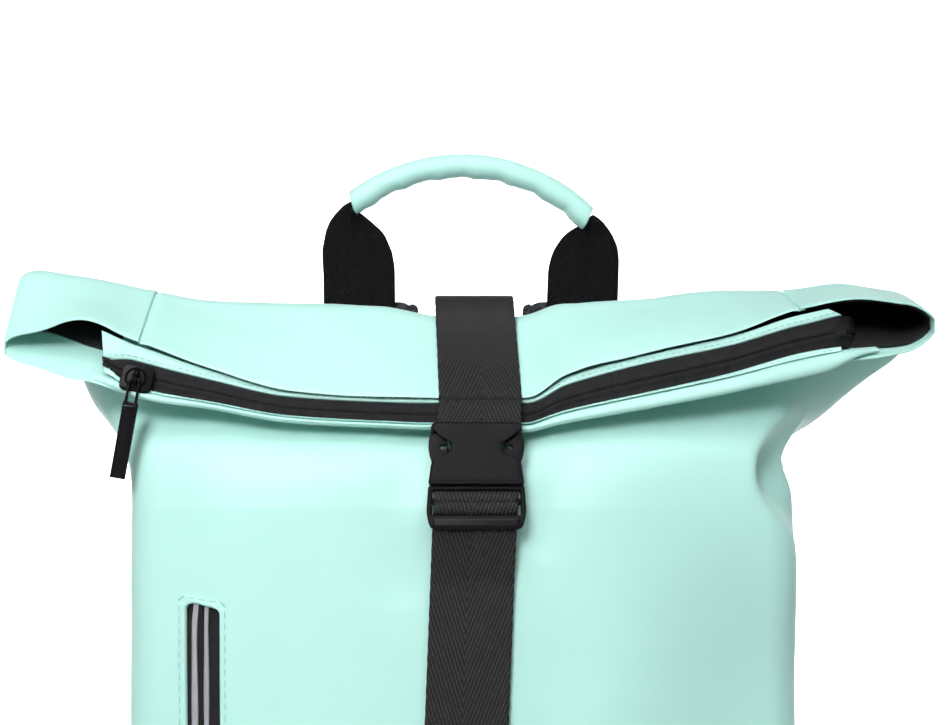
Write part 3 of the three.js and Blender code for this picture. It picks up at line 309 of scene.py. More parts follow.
def crease_field(x, z, face):
    total = np.zeros_like(x)
    for row in CREASES:
        if row["face"] != face:
            continue
        ax, az = row["x"], row["z"]
        bx, bz = row["x2"] - ax, row["z2"] - az
        t = np.clip(((x - ax) * bx + (z - az) * bz) / (bx * bx + bz * bz), 0, 1)
        off = np.hypot(x - ax - t * bx, z - az - t * bz) / row["wide"]
        total += row["out"] * np.exp(-off * off) * np.minimum(1, 6 * t * (1 - t) + 0.25)
    return total


def relief(p, v):
    """How far the finished cloth stands off the plain shell."""
    point = shell(p, v)
    side = wall_of(p)[1]
    x, z = point[..., 0], point[..., 2]
    on_flap = smooth((v - 2.35) / 0.4) * (side > 0)
    on_body = (side < 0) * (1 - smooth((v - 1.7) / 0.3))
    out = on_flap * crease_field(x, z, "flap") + on_body * crease_field(x, z, "body")
    ripple = np.sin(x * 0.11 + 1.3 * np.sin(z * 0.045)) * np.sin(z * 0.07 + x * 0.02)
    return out + 0.16 * ripple


# Meshes
def piece(name, points, faces, body="bag", stands_for=(), slot=None, material=None, angle=35, uv=None):
    mesh = bpy.data.meshes.new(name)
    mesh.from_pydata((np.asarray(points, float) * MM).tolist(), [], [list(f) for f in faces])
    obj = bpy.data.objects.new(name, mesh)
    bpy.context.scene.collection.objects.link(obj)
    if uv is not None:
        layer = mesh.uv_layers.new(name="UVMap")
        loops = np.zeros(len(mesh.loops), np.int32)
        mesh.loops.foreach_get("vertex_index", loops)
        layer.data.foreach_set("uv", np.asarray(uv, np.float32)[loops].ravel())
    return settle(obj, body, stands_for, slot, material, angle)


def settle(obj, body="bag", stands_for=(), slot=None, material=None, angle=35):
    work = bmesh.new()
    work.from_mesh(obj.data)
    bmesh.ops.recalc_face_normals(work, faces=work.faces)
    work.to_mesh(obj.data)
    work.free()
    obj.data.shade_smooth()
    obj.data.set_sharp_from_angle(angle=math.radians(angle))
    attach(obj, body)
    if stands_for:
        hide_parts(*stands_for)
    if material:
        obj.data.materials.clear()
        obj.data.materials.append(material)
    return obj


def grid_faces(rows, cols, start=0, flip=False, wrap=False):
    i = np.arange(rows - 1)[:, None] * cols
    j = np.arange(cols if wrap else cols - 1)[None, :]
    k = (j + 1) % cols
    quads = np.stack([i + j, i + k, i + cols + k, i + cols + j], -1).reshape(-1, 4) + start
    return quads[:, ::-1] if flip else quads


def thick_grid(outer, inner):
    """A closed sheet between two grids of points."""
    rows, cols = outer.shape[:2]
    count = rows * cols
    points = np.concatenate([outer.reshape(-1, 3), inner.reshape(-1, 3)])
    faces = [grid_faces(rows, cols), grid_faces(rows, cols, count, flip=True)]
    index = np.arange(count).reshape(rows, cols)
    rim = np.concatenate([index[0], index[1:, -1], index[-1, -2::-1], index[-2:0:-1, 0]])
    after = np.roll(rim, -1)
    faces.append(np.stack([after, rim, rim + count, after + count], -1))
    return points, np.concatenate(faces)


def tube(rings):
    """A closed body through rings of points."""
    rings = np.asarray(rings, float)
    rows, cols = rings.shape[:2]
    faces = grid_faces(rows, cols, wrap=True).tolist()
    faces.append(list(range(cols))[::-1])
    faces.append([(rows - 1) * cols + i for i in range(cols)])
    return rings.reshape(-1, 3), faces


# Materials. The webbing's pitches are in millimetres.
CHEVRON_PITCH = 4.7
PICK_PITCH = 1.25
TWILL_PITCH = 1.7
HEM_SHADE_PITCH = 2.5


def shader(name, color, roughness, metallic=0.0, specular=0.5):
    mat = bpy.data.materials.new(name)
    mat.use_nodes = True
    tree = mat.node_tree
    base = tree.nodes["Principled BSDF"]
    base.inputs["Base Color"].default_value = (*color, 1)
    base.inputs["Roughness"].default_value = roughness
    base.inputs["Metallic"].default_value = metallic
    base.inputs["Specular IOR Level"].default_value = specular
    return mat, tree, base


def node(tree, kind, links=(), **values):
    made = tree.nodes.new(kind)
    for key, value in values.items():
        if hasattr(made, key):
            setattr(made, key, value)
        else:
            made.inputs[key.replace("_", " ")].default_value = value
    for socket, source in dict(links).items():
        tree.links.new(source, made.inputs[socket])
    return made


def math_node(tree, operation, a, b=None, c=None):
    made = tree.nodes.new("ShaderNodeMath")
    made.operation = operation
    for i, value in enumerate((a, b, c)):
        if value is None:
            continue
        if isinstance(value, (int, float)):
            made.inputs[i].default_value = value
        else:
            tree.links.new(value, made.inputs[i])
    return made.outputs[0]


def blend_colors(tree, factor, low, high):
    made = tree.nodes.new("ShaderNodeMix")
    made.data_type = "RGBA"
    tree.links.new(factor, made.inputs[0])
    made.inputs[6].default_value = (*low, 1)
    made.inputs[7].default_value = (*high, 1)
    return made.outputs[2]


def bump(tree, base, height, strength, distance, under=None):
    made = node(tree, "ShaderNodeBump", {"Height": height}, Strength=strength, Distance=distance)
    if under is not None:
        tree.links.new(under, made.inputs["Normal"])
    tree.links.new(made.outputs[0], base.inputs["Normal"])
    return made.outputs[0]


def coated_cloth():
    mat, tree, base = shader("coated_cloth", (0.47, 0.80, 0.735), 0.46, specular=0.36)
    place = node(tree, "ShaderNodeTexCoord").outputs["Object"]
    wide = node(tree, "ShaderNodeTexNoise", {"Vector": place}, Scale=9.0, Detail=3.0)
    grain = node(tree, "ShaderNodeTexVoronoi", {"Vector": place}, Scale=1500.0)
    fine = node(tree, "ShaderNodeTexNoise", {"Vector": place}, Scale=900.0, Detail=4.0)
    ripple = node(tree, "ShaderNodeTexNoise", {"Vector": place}, Scale=38.0, Detail=2.0, Roughness=0.4)
    tint = blend_colors(tree, wide.outputs[0], (0.46, 0.79, 0.72), (0.485, 0.815, 0.75))
    tree.links.new(tint, base.inputs["Base Color"])
    rough = math_node(tree, "MULTIPLY_ADD", fine.outputs[0], 0.12, 0.40)
    tree.links.new(rough, base.inputs["Roughness"])
    soft = bump(tree, base, ripple.outputs[0], 0.35, 0.0006)
    bump(tree, base, grain.outputs[0], 0.10, 0.00008, soft)
    base.inputs["Sheen Weight"].default_value = 0.06
    base.inputs["Subsurface Weight"].default_value = 0.04
    base.inputs["Subsurface Radius"].default_value = (0.002, 0.003, 0.003)
    return mat


def webbing(name, center=0.0, way=1, twill_above=None, hem_shade_at=None, dark=0.006, tone_and_highlight=0.046, gloss=0.26):
    """Herringbone webbing. Its map is in millimetres, across and along the strap. Raised floats are coloured
    lighter: the woven pattern with a painted highlight on it, plus random tone from the noise. An optional
    wavy dark line across it is painted shade of the hem's groove.
    """
    mat, tree, base = shader(name, (dark, dark, dark), 0.62, specular=gloss)
    uv = node(tree, "ShaderNodeUVMap", uv_map="UVMap").outputs[0]
    parts = node(tree, "ShaderNodeSeparateXYZ", {"Vector": uv})
    across, along = parts.outputs[0], parts.outputs[1]
    off = math_node(tree, "ABSOLUTE", math_node(tree, "SUBTRACT", across, center))
    slant = math_node(tree, "MULTIPLY_ADD", off, 2.8 * way, along)
    chevron = math_node(tree, "SINE", math_node(tree, "MULTIPLY", slant, 2 * math.pi / CHEVRON_PITCH))
    turns = math_node(tree, "MULTIPLY", along, 2 * math.pi / PICK_PITCH)
    picks = math_node(tree, "SINE", math_node(tree, "MULTIPLY_ADD", off, 1.1 * way, turns))
    height = math_node(tree, "MULTIPLY_ADD", picks, 0.45, chevron)
    if twill_above is not None:
        slope = math_node(tree, "MULTIPLY_ADD", across, 1.15, along)
        twill = math_node(tree, "SINE", math_node(tree, "MULTIPLY", slope, 2 * math.pi / TWILL_PITCH))
        edge = math_node(tree, "MULTIPLY_ADD", off, -0.25, along)
        share = node(tree, "ShaderNodeMapRange", {"Value": edge})
        share.inputs["From Min"].default_value = twill_above - 3
        share.inputs["From Max"].default_value = twill_above + 3
        fine = math_node(tree, "MULTIPLY", twill, 0.35)
        mixed = tree.nodes.new("ShaderNodeMix")
        tree.links.new(share.outputs[0], mixed.inputs[0])
        tree.links.new(height, mixed.inputs[2])
        tree.links.new(fine, mixed.inputs[3])
        height = mixed.outputs[0]
    noise = node(tree, "ShaderNodeTexNoise", {"Vector": uv}, Scale=0.9, Detail=5.0)
    level = math_node(tree, "MULTIPLY_ADD", height, 0.38, 0.30)
    speckle = math_node(tree, "MULTIPLY_ADD", noise.outputs[0], 1.1, 0.45)
    level = math_node(tree, "MULTIPLY", level, speckle)
    # Painted shade: a thin wavy dark line across the strap where the hem's groove lies.
    if hem_shade_at is not None:
        wave = math_node(tree, "SINE", math_node(tree, "MULTIPLY", across, 2 * math.pi / HEM_SHADE_PITCH))
        line = math_node(tree, "MULTIPLY_ADD", wave, 0.22, math_node(tree, "SUBTRACT", along, hem_shade_at))
        gap = node(tree, "ShaderNodeMapRange", {"Value": math_node(tree, "ABSOLUTE", line)})
        gap.inputs["From Min"].default_value = 0.5
        gap.inputs["From Max"].default_value = 1.2
        level = math_node(tree, "MULTIPLY", level, gap.outputs[0])
    clamp = node(tree, "ShaderNodeClamp", {"Value": level})
    # Lighter where the weave stands up: painted highlight on the raised floats over the herringbone pattern.
    tint = blend_colors(tree, clamp.outputs[0], (dark, dark, dark * 1.05), (tone_and_highlight, tone_and_highlight, tone_and_highlight * 1.03))
    tree.links.new(tint, base.inputs["Base Color"])
    bump(tree, base, height, 0.55, 0.00028)
    return mat


def moulded(name="moulded_plastic", color=(0.006, 0.006, 0.007), rough=0.50, gloss=0.12):
    mat, tree, base = shader(name, color, rough, specular=gloss)
    place = node(tree, "ShaderNodeTexCoord").outputs["Object"]
    grain = node(tree, "ShaderNodeTexNoise", {"Vector": place}, Scale=1800.0, Detail=3.0)
    cloud = node(tree, "ShaderNodeTexNoise", {"Vector": place}, Scale=60.0, Detail=2.0)
    uneven = math_node(tree, "MULTIPLY_ADD", cloud.outputs[0], 0.14, rough - 0.07)
    tree.links.new(uneven, base.inputs["Roughness"])
    bump(tree, base, grain.outputs[0], 0.22, 0.00006)
    return mat


def gloss_metal(name="gloss_black_metal", rough=0.45, gloss=0.05):
    mat, tree, base = shader(name, (0.003, 0.003, 0.004), rough, 0.0, gloss)
    place = node(tree, "ShaderNodeTexCoord").outputs["Object"]
    cloud = node(tree, "ShaderNodeTexNoise", {"Vector": place}, Scale=240.0, Detail=3.0)
    uneven = math_node(tree, "MULTIPLY_ADD", cloud.outputs[0], 0.10, rough - 0.05)
    tree.links.new(uneven, base.inputs["Roughness"])
    base.inputs["Coat Weight"].default_value = 0.03
    base.inputs["Coat Roughness"].default_value = 0.1
    bump(tree, base, cloud.outputs[0], 0.05, 0.0001)
    return mat


def woven(name, color, tone_and_highlight, pitch=0.55):
    """A plain weave by place, for tapes and linings. Raised crossings are coloured lighter, a painted
    highlight over random tone.
    """
    mat, tree, base = shader(name, color, 0.8, specular=0.25)
    place = node(tree, "ShaderNodeTexCoord").outputs["Object"]
    parts = node(tree, "ShaderNodeSeparateXYZ", {"Vector": place})
    turn = 2 * math.pi / (pitch * MM)
    warp = math_node(tree, "SINE", math_node(tree, "MULTIPLY", parts.outputs[0], turn))
    weft = math_node(tree, "SINE", math_node(tree, "MULTIPLY", parts.outputs[2], turn))
    cross = math_node(tree, "MULTIPLY", warp, weft)
    noise = node(tree, "ShaderNodeTexNoise", {"Vector": place}, Scale=260.0, Detail=4.0)
    level = math_node(tree, "MULTIPLY_ADD", cross, 0.3, noise.outputs[0])
    clamp = node(tree, "ShaderNodeClamp", {"Value": level})
    # Lighter where the yarns cross over: painted highlight on the raised weave, mixed with random tone from
    # the noise.
    tree.links.new(blend_colors(tree, clamp.outputs[0], color, tone_and_highlight), base.inputs["Base Color"])
    bump(tree, base, cross, 0.35, 0.00012)
    return mat


def mesh_cloth():
    """Knitted spacer mesh over foam, its hollows coloured darker as painted shade."""
    mat, tree, base = shader("spacer_mesh", (0.018, 0.018, 0.019), 0.85, specular=0.2)
    place = node(tree, "ShaderNodeTexCoord").outputs["Object"]
    cells = node(tree, "ShaderNodeTexVoronoi", {"Vector": place}, Scale=420.0)
    depth = node(tree, "ShaderNodeMapRange", {"Value": cells.outputs[0]})
    depth.inputs["From Min"].default_value = 0.15
    depth.inputs["From Max"].default_value = 0.6
    # Painted shade: the knit is darker where its cells sink in.
    tint = blend_colors(tree, depth.outputs[0], (0.006, 0.006, 0.007), (0.04, 0.04, 0.042))
    tree.links.new(tint, base.inputs["Base Color"])
    bump(tree, base, depth.outputs[0], 0.7, 0.0006)
    return mat


def ribbon():
    mat, tree, base = shader("reflective_ribbon", (0.42, 0.41, 0.46), 0.42, 0.35, 0.6)
    place = node(tree, "ShaderNodeTexCoord").outputs["Object"]
    beads = node(tree, "ShaderNodeTexVoronoi", {"Vector": place}, Scale=2600.0)
    cloud = node(tree, "ShaderNodeTexNoise", {"Vector": place}, Scale=70.0, Detail=3.0)
    tint = blend_colors(tree, cloud.outputs[0], (0.34, 0.33, 0.38), (0.52, 0.51, 0.56))
    tree.links.new(tint, base.inputs["Base Color"])
    bump(tree, base, beads.outputs[0], 0.3, 0.0001)
    return mat


CLOTH = coated_cloth()
# The upper strap's material carries the painted shade line of its hem.
UPPER_WEB = webbing("upper_webbing", center=1.0, way=1, twill_above=0.0, hem_shade_at=-22.8)
LOWER_WEB = webbing("lower_webbing", center=-2.0, way=-1)
PLAIN_WEB = webbing("plain_webbing", dark=0.0035, tone_and_highlight=0.0075, gloss=0.08)
PLASTIC = moulded()
GLOSS = moulded("polished_plastic", (0.007, 0.007, 0.008), 0.34, 0.13)
METAL = gloss_metal()
PULL_METAL = gloss_metal("pull_metal", 0.20, 0.42)
TAPE = woven("zip_tape_weave", (0.005, 0.005, 0.006), (0.020, 0.020, 0.021))
LINING = woven("lining_weave", (0.012, 0.012, 0.013), (0.024, 0.024, 0.025), 0.8)
MESH = mesh_cloth()
RIBBON = ribbon()
THREAD = shader("mint_thread", (0.22, 0.52, 0.47), 0.7)[0]
DARK_THREAD = shader("black_thread", (0.012, 0.012, 0.013), 0.7)[0]

# The body: each panel is a thick sheet of the shell
SEAM_LAP = 2.6
EDGE_BAND = 4
OVER_WALL = 1.25
UNDER_WALL = 1.0
LEVELS = np.concatenate([
    np.linspace(0, 0.82, 70, endpoint=False), np.linspace(0.82, 1.3, 60, endpoint=False),
    np.linspace(1.3, 2, 46, endpoint=False), np.linspace(2, 3, 30, endpoint=False),
    np.linspace(3, 3.86, 22, endpoint=False), np.linspace(3.86, 3.97, 5, endpoint=False),
    [3.97, 3.982, 3.992, 4.0],
])


def rim_round(v):
    """How far the wall thins at the rim of the mouth and at the foot, so that the edge is rounded."""
    past = np.clip((v - 3.955) / 0.045, 0, 1)
    return 1 - np.sqrt(np.maximum(1 - past * past * 0.96, 0))


POCKET_HALF = POCKET_WINDOW / 2
POCKET_MIDDLE = POCKET_X + BODY_LEAN
POCKET_FOOT = POCKET_TOP - POCKET_LENGTH
POCKET_CORNER = 3.2


def level_at(z):
    return (np.asarray(z, float) - BASE_RISE) / (FLARE_HEIGHT - BASE_RISE)


def pocket_warp(c, z):
    """Bends the grid lines round the pocket's window: rounded corners and a slanted head."""
    side = c - POCKET_MIDDLE
    near_side = np.exp(-((np.abs(side) - POCKET_HALF) / 5.0) ** 2)
    down = np.clip(np.minimum(POCKET_TOP - z, z - POCKET_FOOT), 0, POCKET_CORNER)
    shift = POCKET_CORNER - np.sqrt(np.maximum(POCKET_CORNER ** 2 - (POCKET_CORNER - down) ** 2, 0))
    beyond = np.clip(np.maximum(z - POCKET_TOP, POCKET_FOOT - z), 0, 10)
    moved = side - np.sign(side) * shift * near_side * np.exp(-(beyond / 3) ** 2)
    slant = -0.15 * side * np.exp(-((z - POCKET_TOP) / 12) ** 2) * np.exp(-(side / 14) ** 2)
    return moved + POCKET_MIDDLE, z + slant


def pocket_rim(c, z):
    """Distance outside the window's edge, for its turned and stitched border."""
    x = np.abs(c - POCKET_MIDDLE) - POCKET_HALF
    y = np.maximum(z - POCKET_TOP, POCKET_FOOT - z)
    return np.where((x > 0) & (y > 0), np.hypot(x, y), np.maximum(x, y))


def sheet_faces(rows, cols, hole):
    """Faces of a closed sheet of two grids, without the cells of a hole."""
    count = rows * cols
    outer = grid_faces(rows, cols).reshape(rows - 1, cols - 1, 4)
    keep = ~hole
    faces = [outer[keep], outer[keep][:, ::-1] + count]
    padded = np.pad(keep, 1)
    for axis, step, a, b in ((0, -1, 0, 1), (0, 1, 2, 3), (1, 1, 1, 2), (1, -1, 3, 0)):
        beside = np.roll(padded, -step, axis)[1:-1, 1:-1]
        edge = outer[keep & ~beside]
        one, two = edge[:, a], edge[:, b]
        faces.append(np.stack([two, one, one + count, two + count], -1))
    return np.concatenate(faces)


def edge_fall(t):
    """A quarter round from 1 at the edge to 0 further in."""
    return 1 - np.sqrt(np.clip(1 - (1 - np.clip(t, 0, 1)) ** 2, 0, 1))


def panel(name, edge, middle, stands_for, over, pocket=False):
    """One panel round the middle share. over is True where its edges lie over its neighbours'."""
    lap = SEAM_LAP / half_flat
    half = edge if over else edge + lap
    band = EDGE_BAND / half_flat
    inner_part = np.linspace(-(half - band), half - band, 56 if over else 130)
    fine = np.linspace(band, 0.0, 9)[1:]
    columns = np.concatenate([-(half - fine), inner_part, half - fine])
    levels = LEVELS
    if pocket:
        near = np.array([0, 0.25, 0.6, 1.1, 1.8, 2.6, 3.6, 5.0, 6.6])
        sides = np.concatenate([POCKET_MIDDLE + POCKET_HALF + near, POCKET_MIDDLE - POCKET_HALF - near])
        columns = columns[np.abs(columns * half_flat - POCKET_MIDDLE) > POCKET_HALF + 7.4]
        inside = POCKET_MIDDLE + POCKET_HALF * np.array([-0.8, -0.5, -0.2, 0.2, 0.5, 0.8])
        columns = np.concatenate([columns, sides / half_flat, inside / half_flat])
        within = np.array([0.1, 0.4, 0.9, 1.6, 2.4, 3.2, 5.0])
        above, below = POCKET_TOP + near, POCKET_FOOT - near
        heights = np.concatenate([above, below, POCKET_TOP - within, POCKET_FOOT + within])
        window = level_at([POCKET_TOP, POCKET_FOOT])
        away = np.abs(LEVELS[:, None] - window).min(axis=1)
        levels = np.concatenate([LEVELS[away > 8.5 / (FLARE_HEIGHT - BASE_RISE)], level_at(heights)])
    columns = np.unique(np.round(columns, 7))
    levels = np.unique(np.round(levels, 7))
    c, v = np.broadcast_arrays(columns[None, :] * half_flat, levels[:, None])
    hole = np.zeros((len(levels) - 1, len(columns) - 1), bool)
    border = np.zeros(v.shape)
    if pocket:
        z = BASE_RISE + v * (FLARE_HEIGHT - BASE_RISE)
        off_edge = pocket_rim(c, z)
        mid_off = (off_edge[:-1, :-1] + off_edge[1:, 1:]) / 2
        hole = mid_off < 0
        border = 0.55 * np.exp(-((off_edge - 1.3) / 1.1) ** 2)
        border = border - 0.30 * np.exp(-((off_edge - 5.6) / 0.8) ** 2)
        border = border - 0.95 * edge_fall(off_edge / 0.7)
        border = np.where(off_edge < 9, border, 0)
        moved, risen = pocket_warp(c, z)
        body = v < 1
        c = np.where(body, moved, c)
        v = np.where(body, level_at(risen), v)
    p = middle + c / half_flat
    off = edge * half_flat - np.abs(c)
    on_fold = smooth((v - 1.75) / 0.35)
    if over:
        drop = on_fold * (0.75 * edge_fall(off / 0.9) - 0.35 * smooth(1 - off / 6))
        thick = OVER_WALL
    else:
        drop = mix(1.30 * smooth((-0.03 - off) / 0.9), 1.35 * smooth(1 - off / 2.4), on_fold)
        thick = UNDER_WALL
        v = v - 0.07 * smooth((0.7 - off) / 0.6) * smooth((v - 3.8) / 0.2)
    lift = relief(p, v) + border
    rounding = rim_round(v)
    normal = outward(p, v)
    base = shell(p, v)
    outer = base + normal * (lift - drop - rounding * 0.9)[..., None]
    inner = base + normal * (lift - drop - thick + rounding * 0.35 - np.maximum(border, 0))[..., None]
    points = np.concatenate([outer.reshape(-1, 3), inner.reshape(-1, 3)])
    faces = sheet_faces(*c.shape, hole)
    used = np.unique(faces)
    number = np.zeros(len(points), int)
    number[used] = np.arange(len(used))
    piece(name, points[used], number[faces], stands_for=[stands_for], slot="coated_fabric",
          material=CLOTH, angle=50)


panel("front_cloth", seam, 0.0, "front_panel", False, pocket=True)
panel("back_cloth", seam, 2.0, "back_panel", False)
panel("right_gusset_cloth", 1 - seam, 1.0, "gusset_right", True)
panel("left_gusset_cloth", 1 - seam, 3.0, "gusset_left", True)


def base_cloth():
    """The tray under the bag, its edge turned up to meet the walls."""
    around = np.linspace(0, 4, 320, endpoint=False)
    rim = shell(around, 0.0)[:, :2]
    top = BASE_RISE + 0.4
    rings = []
    for turn in np.radians(np.linspace(0, 90, 13)):
        pull = BASE_ROUND * (1 - math.cos(turn))
        scale = np.array([1 - pull / (BODY_WIDTH / 2), 1 - pull / (BODY_DEPTH / 2)])
        z = top * (1 - math.sin(turn))
        rings.append(np.column_stack([rim * scale, np.full(len(rim), z)]))
    flat_rings = [rings[-1] * np.array([f, f, 1]) for f in (0.8, 0.5, 0.2)]
    outer = rings + flat_rings
    inner = [ring * np.array([0.985, 0.975, 1]) + np.array([0, 0, 1.3]) for ring in outer]
    inner[0][:, 2] = top
    loop = outer[::-1] + inner
    points = np.concatenate(loop)
    count = len(around)
    faces = grid_faces(len(loop), count, wrap=True).tolist()
    faces.append(list(range(count)))
    faces.append([(len(loop) - 1) * count + i for i in range(count)][::-1])
    piece("base_cloth", points, faces, stands_for=["base_panel"], slot="coated_fabric", material=CLOTH)


base_cloth()


# The mouth between the two lips: shares run from the upper lip to the lower one
def mouth(u):
    u = np.asarray(u, float)
    depth = WALL + CLEARANCE + FACING_WALL

    def end(p):
        run = unit(shell(p, 4.0) - shell(p, 3.9))
        return inset(p, 4.0, np.full(u.shape, depth)) - run * ZIP_RECESS

    top, foot = end(2 - u), end(u)
    return top, foot - top


def mouth_normal(u, step=0.01):
    def middle(w):
        top, down = mouth(w)
        return top + down * 0.5

    return unit(np.cross(mouth(u)[1], middle(u + step) - middle(u - step)))


def on_mouth(u, share, lift):
    top, down = mouth(u)
    over_lip = 2.3 * smooth((np.asarray(share) - 0.86) / 0.20)
    out = mouth_normal(u) * (np.asarray(lift) + over_lip)[..., None]
    return top + down * np.asarray(share)[..., None] + out


def mouth_length(u):
    return np.linalg.norm(mouth(u)[1], axis=-1)


def tape_top(u):
    """The tape narrows to a frayed tip at its left end."""
    tip = smooth((-0.705 - u) / 0.06)
    fray = 0.35 * np.sin(u * 1900) * np.sin(u * 730 + 1)
    return zip_top(u) + tip * (3.7 + fray) / mouth_length(u)


def tape_foot(u):
    tip = smooth((-0.72 - u) / 0.05)
    fray = 0.35 * np.sin(u * 1570 + 2) * np.sin(u * 810)
    return zip_foot(u) + (3.5 - tip * (3.6 + fray)) / mouth_length(u)


def mouth_strip(name, rows, stands_for, slot, material, thick=0.8):
    """rows give for each line along the strip its share of the mouth at every u, and its lift."""
    outer = np.stack([on_mouth(u, share, lift) for u, share, lift in rows], 1)
    inner = np.stack([on_mouth(u, share, lift - thick) for u, share, lift in rows], 1)
    points, faces = thick_grid(outer, inner)
    piece(name, points, faces, stands_for=stands_for, slot=slot, material=material, angle=60)


def lower_band(u):
    """The width in share between the tape's foot and the outer edge of the lower lip."""
    return 1 + 2.5 / mouth_length(u) - tape_foot(u)


def facing(name, upper, stands_for):
    edge = tape_top if upper else tape_foot
    way = -1 if upper else 1
    left, right = -0.773, 0.785
    base = np.linspace(left, right, 340)
    length = mouth_length(base)
    rows = []
    far = edge(base) + way * 0.05 / length
    start = 0.03 if upper else tape_foot(base) + 0.36 * lower_band(base)
    for t in np.concatenate([np.linspace(0, 0.86, 9), [0.92, 0.96, 0.985, 1.0]]):
        share = mix(start, far, t)
        lift = 0.75 + 0.30 * np.sin(math.pi * t) - 0.45 * max(0, (t - 0.9) / 0.1) ** 2
        us = base.copy()
        if upper:
            us = mix(left, right - 0.030 * (1 - t), (base - left) / (right - left))
        else:
            lift = lift + 0.35 * (1 - t)
        lift = lift + 0.10 * np.sin(us * 75 + t * 2) * np.sin(us * 23)
        rows.append((us, share, np.broadcast_to(lift, us.shape)))
    mouth_strip(name, rows, [stands_for], "coated_fabric", CLOTH, 1.0)


# Share across the turned lip, and how far it stands out there
LIP_PROFILE = [(0.22, -0.5), (0.27, -0.2), (0.33, 0.2), (0.42, 0.65), (0.53, 1.0), (0.66, 1.2), (0.78, 1.2),
               (0.88, 0.95), (0.95, 0.45), (1.0, -0.4)]


def lower_lip():
    """The front panel's turned rim, below the lower facing."""
    us = np.linspace(-0.800, 0.865, 400)
    over = 1.2 + 3.0 * smooth((us + 0.15) / 0.6) - 5.6 * smooth((us - 0.750) / 0.10)
    band = lower_band(us) + over / mouth_length(us)
    merge = 2.6 * smooth((us - 0.800) / 0.06) + 4.0 * smooth((-0.715 - us) / 0.08)
    rows = []
    for t, lift in LIP_PROFILE:
        swell = 0.12 * np.sin(us * 31 + 2 * t) * np.sin(us * 13)
        rows.append((us, tape_foot(us) + t * band, lift + swell - merge))
    mouth_strip("lower_lip_fold", rows, [], "coated_fabric", CLOTH, 0.9)


# Distance from the teeth's line, height, and how much the teeth show there
TAPE_PROFILE = [(0.12, -0.25, 0.1), (0.35, 0.30, 0.5), (0.8, 0.74, 1.0), (1.5, 0.88, 1.0), (2.2, 0.66, 0.9),
                (2.8, 0.38, 0.35), (3.3, 0.22, 0.0), (4.6, 0.20, 0.0)]


def tape(name, upper, stands_for):
    us = np.linspace(-0.776, 0.90, ZIP_STEPS)
    length = mouth_length(us)
    dive = 26.0 * smooth((us - 0.760) / 0.15)
    middle = mix(tape_top(us), tape_foot(us), TEETH_SHARE)
    edge = (tape_top if upper else tape_foot)(us)
    way = -1 if upper else 1
    half = np.abs(edge - middle) * length
    teeth = 0.5 + 0.5 * np.sin(us * half_flat * 2 * math.pi / TOOTH_PITCH + (0 if upper else math.pi))
    rows = []
    for d, height, rib in TAPE_PROFILE:
        off = np.minimum(d, half - 0.3)
        rows.append((us, middle + way * off / length, height + rib * 0.24 * teeth - dive))
    rows.append((us, edge - way * 0.2 / length, 0.16 - dive))
    mouth_strip(name, rows, [stands_for], "zip_tape", TAPE, 0.7)


facing("upper_facing_cloth", True, "zip_facing_upper")
facing("lower_facing_cloth", False, "zip_facing_lower")
lower_lip()
tape("upper_zip_tape", True, "zip_tape_upper")
tape("lower_zip_tape", False, "zip_tape_lower")


def coil():
    """The closed coil behind the tapes' meeting edges."""
    us = np.linspace(-0.775, 0.795, ZIP_STEPS)
    length = mouth_length(us)
    middle = mix(tape_top(us), tape_foot(us), TEETH_SHARE)
    ridge = 0.12 * np.sin(us * half_flat * 2 * math.pi / TOOTH_PITCH)
    rows = [(us, middle + d / length, np.full(us.shape, h) + ridge) for d, h in
            ((-1.3, -0.1), (-0.7, 0.15), (0, 0.2), (0.7, 0.15), (1.3, -0.1))]
    mouth_strip("coil_ridge", rows, ["zip_coil"], "zip_tape", TAPE, 0.5)


coil()


def lining_cloth(name, middle, stands_for, upper_rim, lower_rim, tip_rim, deep_rim):
    """The dark inner cloth of an end loop. It reaches further out on the upper wall than on the lower."""
    width = 0.40
    p = np.linspace(middle - width, middle + width, 120)
    side = wall_of(p)[1]
    off = np.abs(p - middle) / width
    blend = smooth(0.5 + 2.2 * side * np.minimum(off, 1))
    at_tip = 1 - smooth((off * width - 0.085) / 0.15)
    rim = mix(mix(lower_rim, upper_rim, blend), tip_rim, at_tip)
    rim = mix(rim, deep_rim, smooth((off * width - 0.235) / 0.03))
    v = mix(2.15, rim[None, :], np.linspace(0, 1, 60)[:, None])
    grid = np.broadcast_to(p[None, :], v.shape)
    folds = 0.35 * np.sin(grid * 60 + v * 5)
    outer = inset(grid, v, 1.75)
    inner = inset(grid, v, 2.6 + folds * 0.3)
    points, faces = thick_grid(outer, inner)
    piece(name, points, faces, stands_for=[stands_for], slot="black_lining", material=LINING)


lining_cloth("right_lining_cloth", 1.0, "lining_right", 3.90, 3.77, 3.84, 3.5)
lining_cloth("left_lining_cloth", 3.0, "lining_left", 3.62, 3.60, 3.46, 2.8)


# Flat straps
def path_length(path):
    return np.concatenate([[0], np.cumsum(np.linalg.norm(np.diff(path, axis=0), axis=1))])


def resample(path, step):
    """A smooth line through the points, at even steps."""
    path = np.asarray(path, float)
    s = path_length(path)
    even = np.linspace(0, s[-1], max(int(s[-1] / step), 8))
    knots = np.stack([np.interp(even, s, path[:, i]) for i in range(3)], -1)
    for _ in range(3):
        knots[1:-1] = (knots[:-2] + 2 * knots[1:-1] + knots[2:]) / 4
    return knots


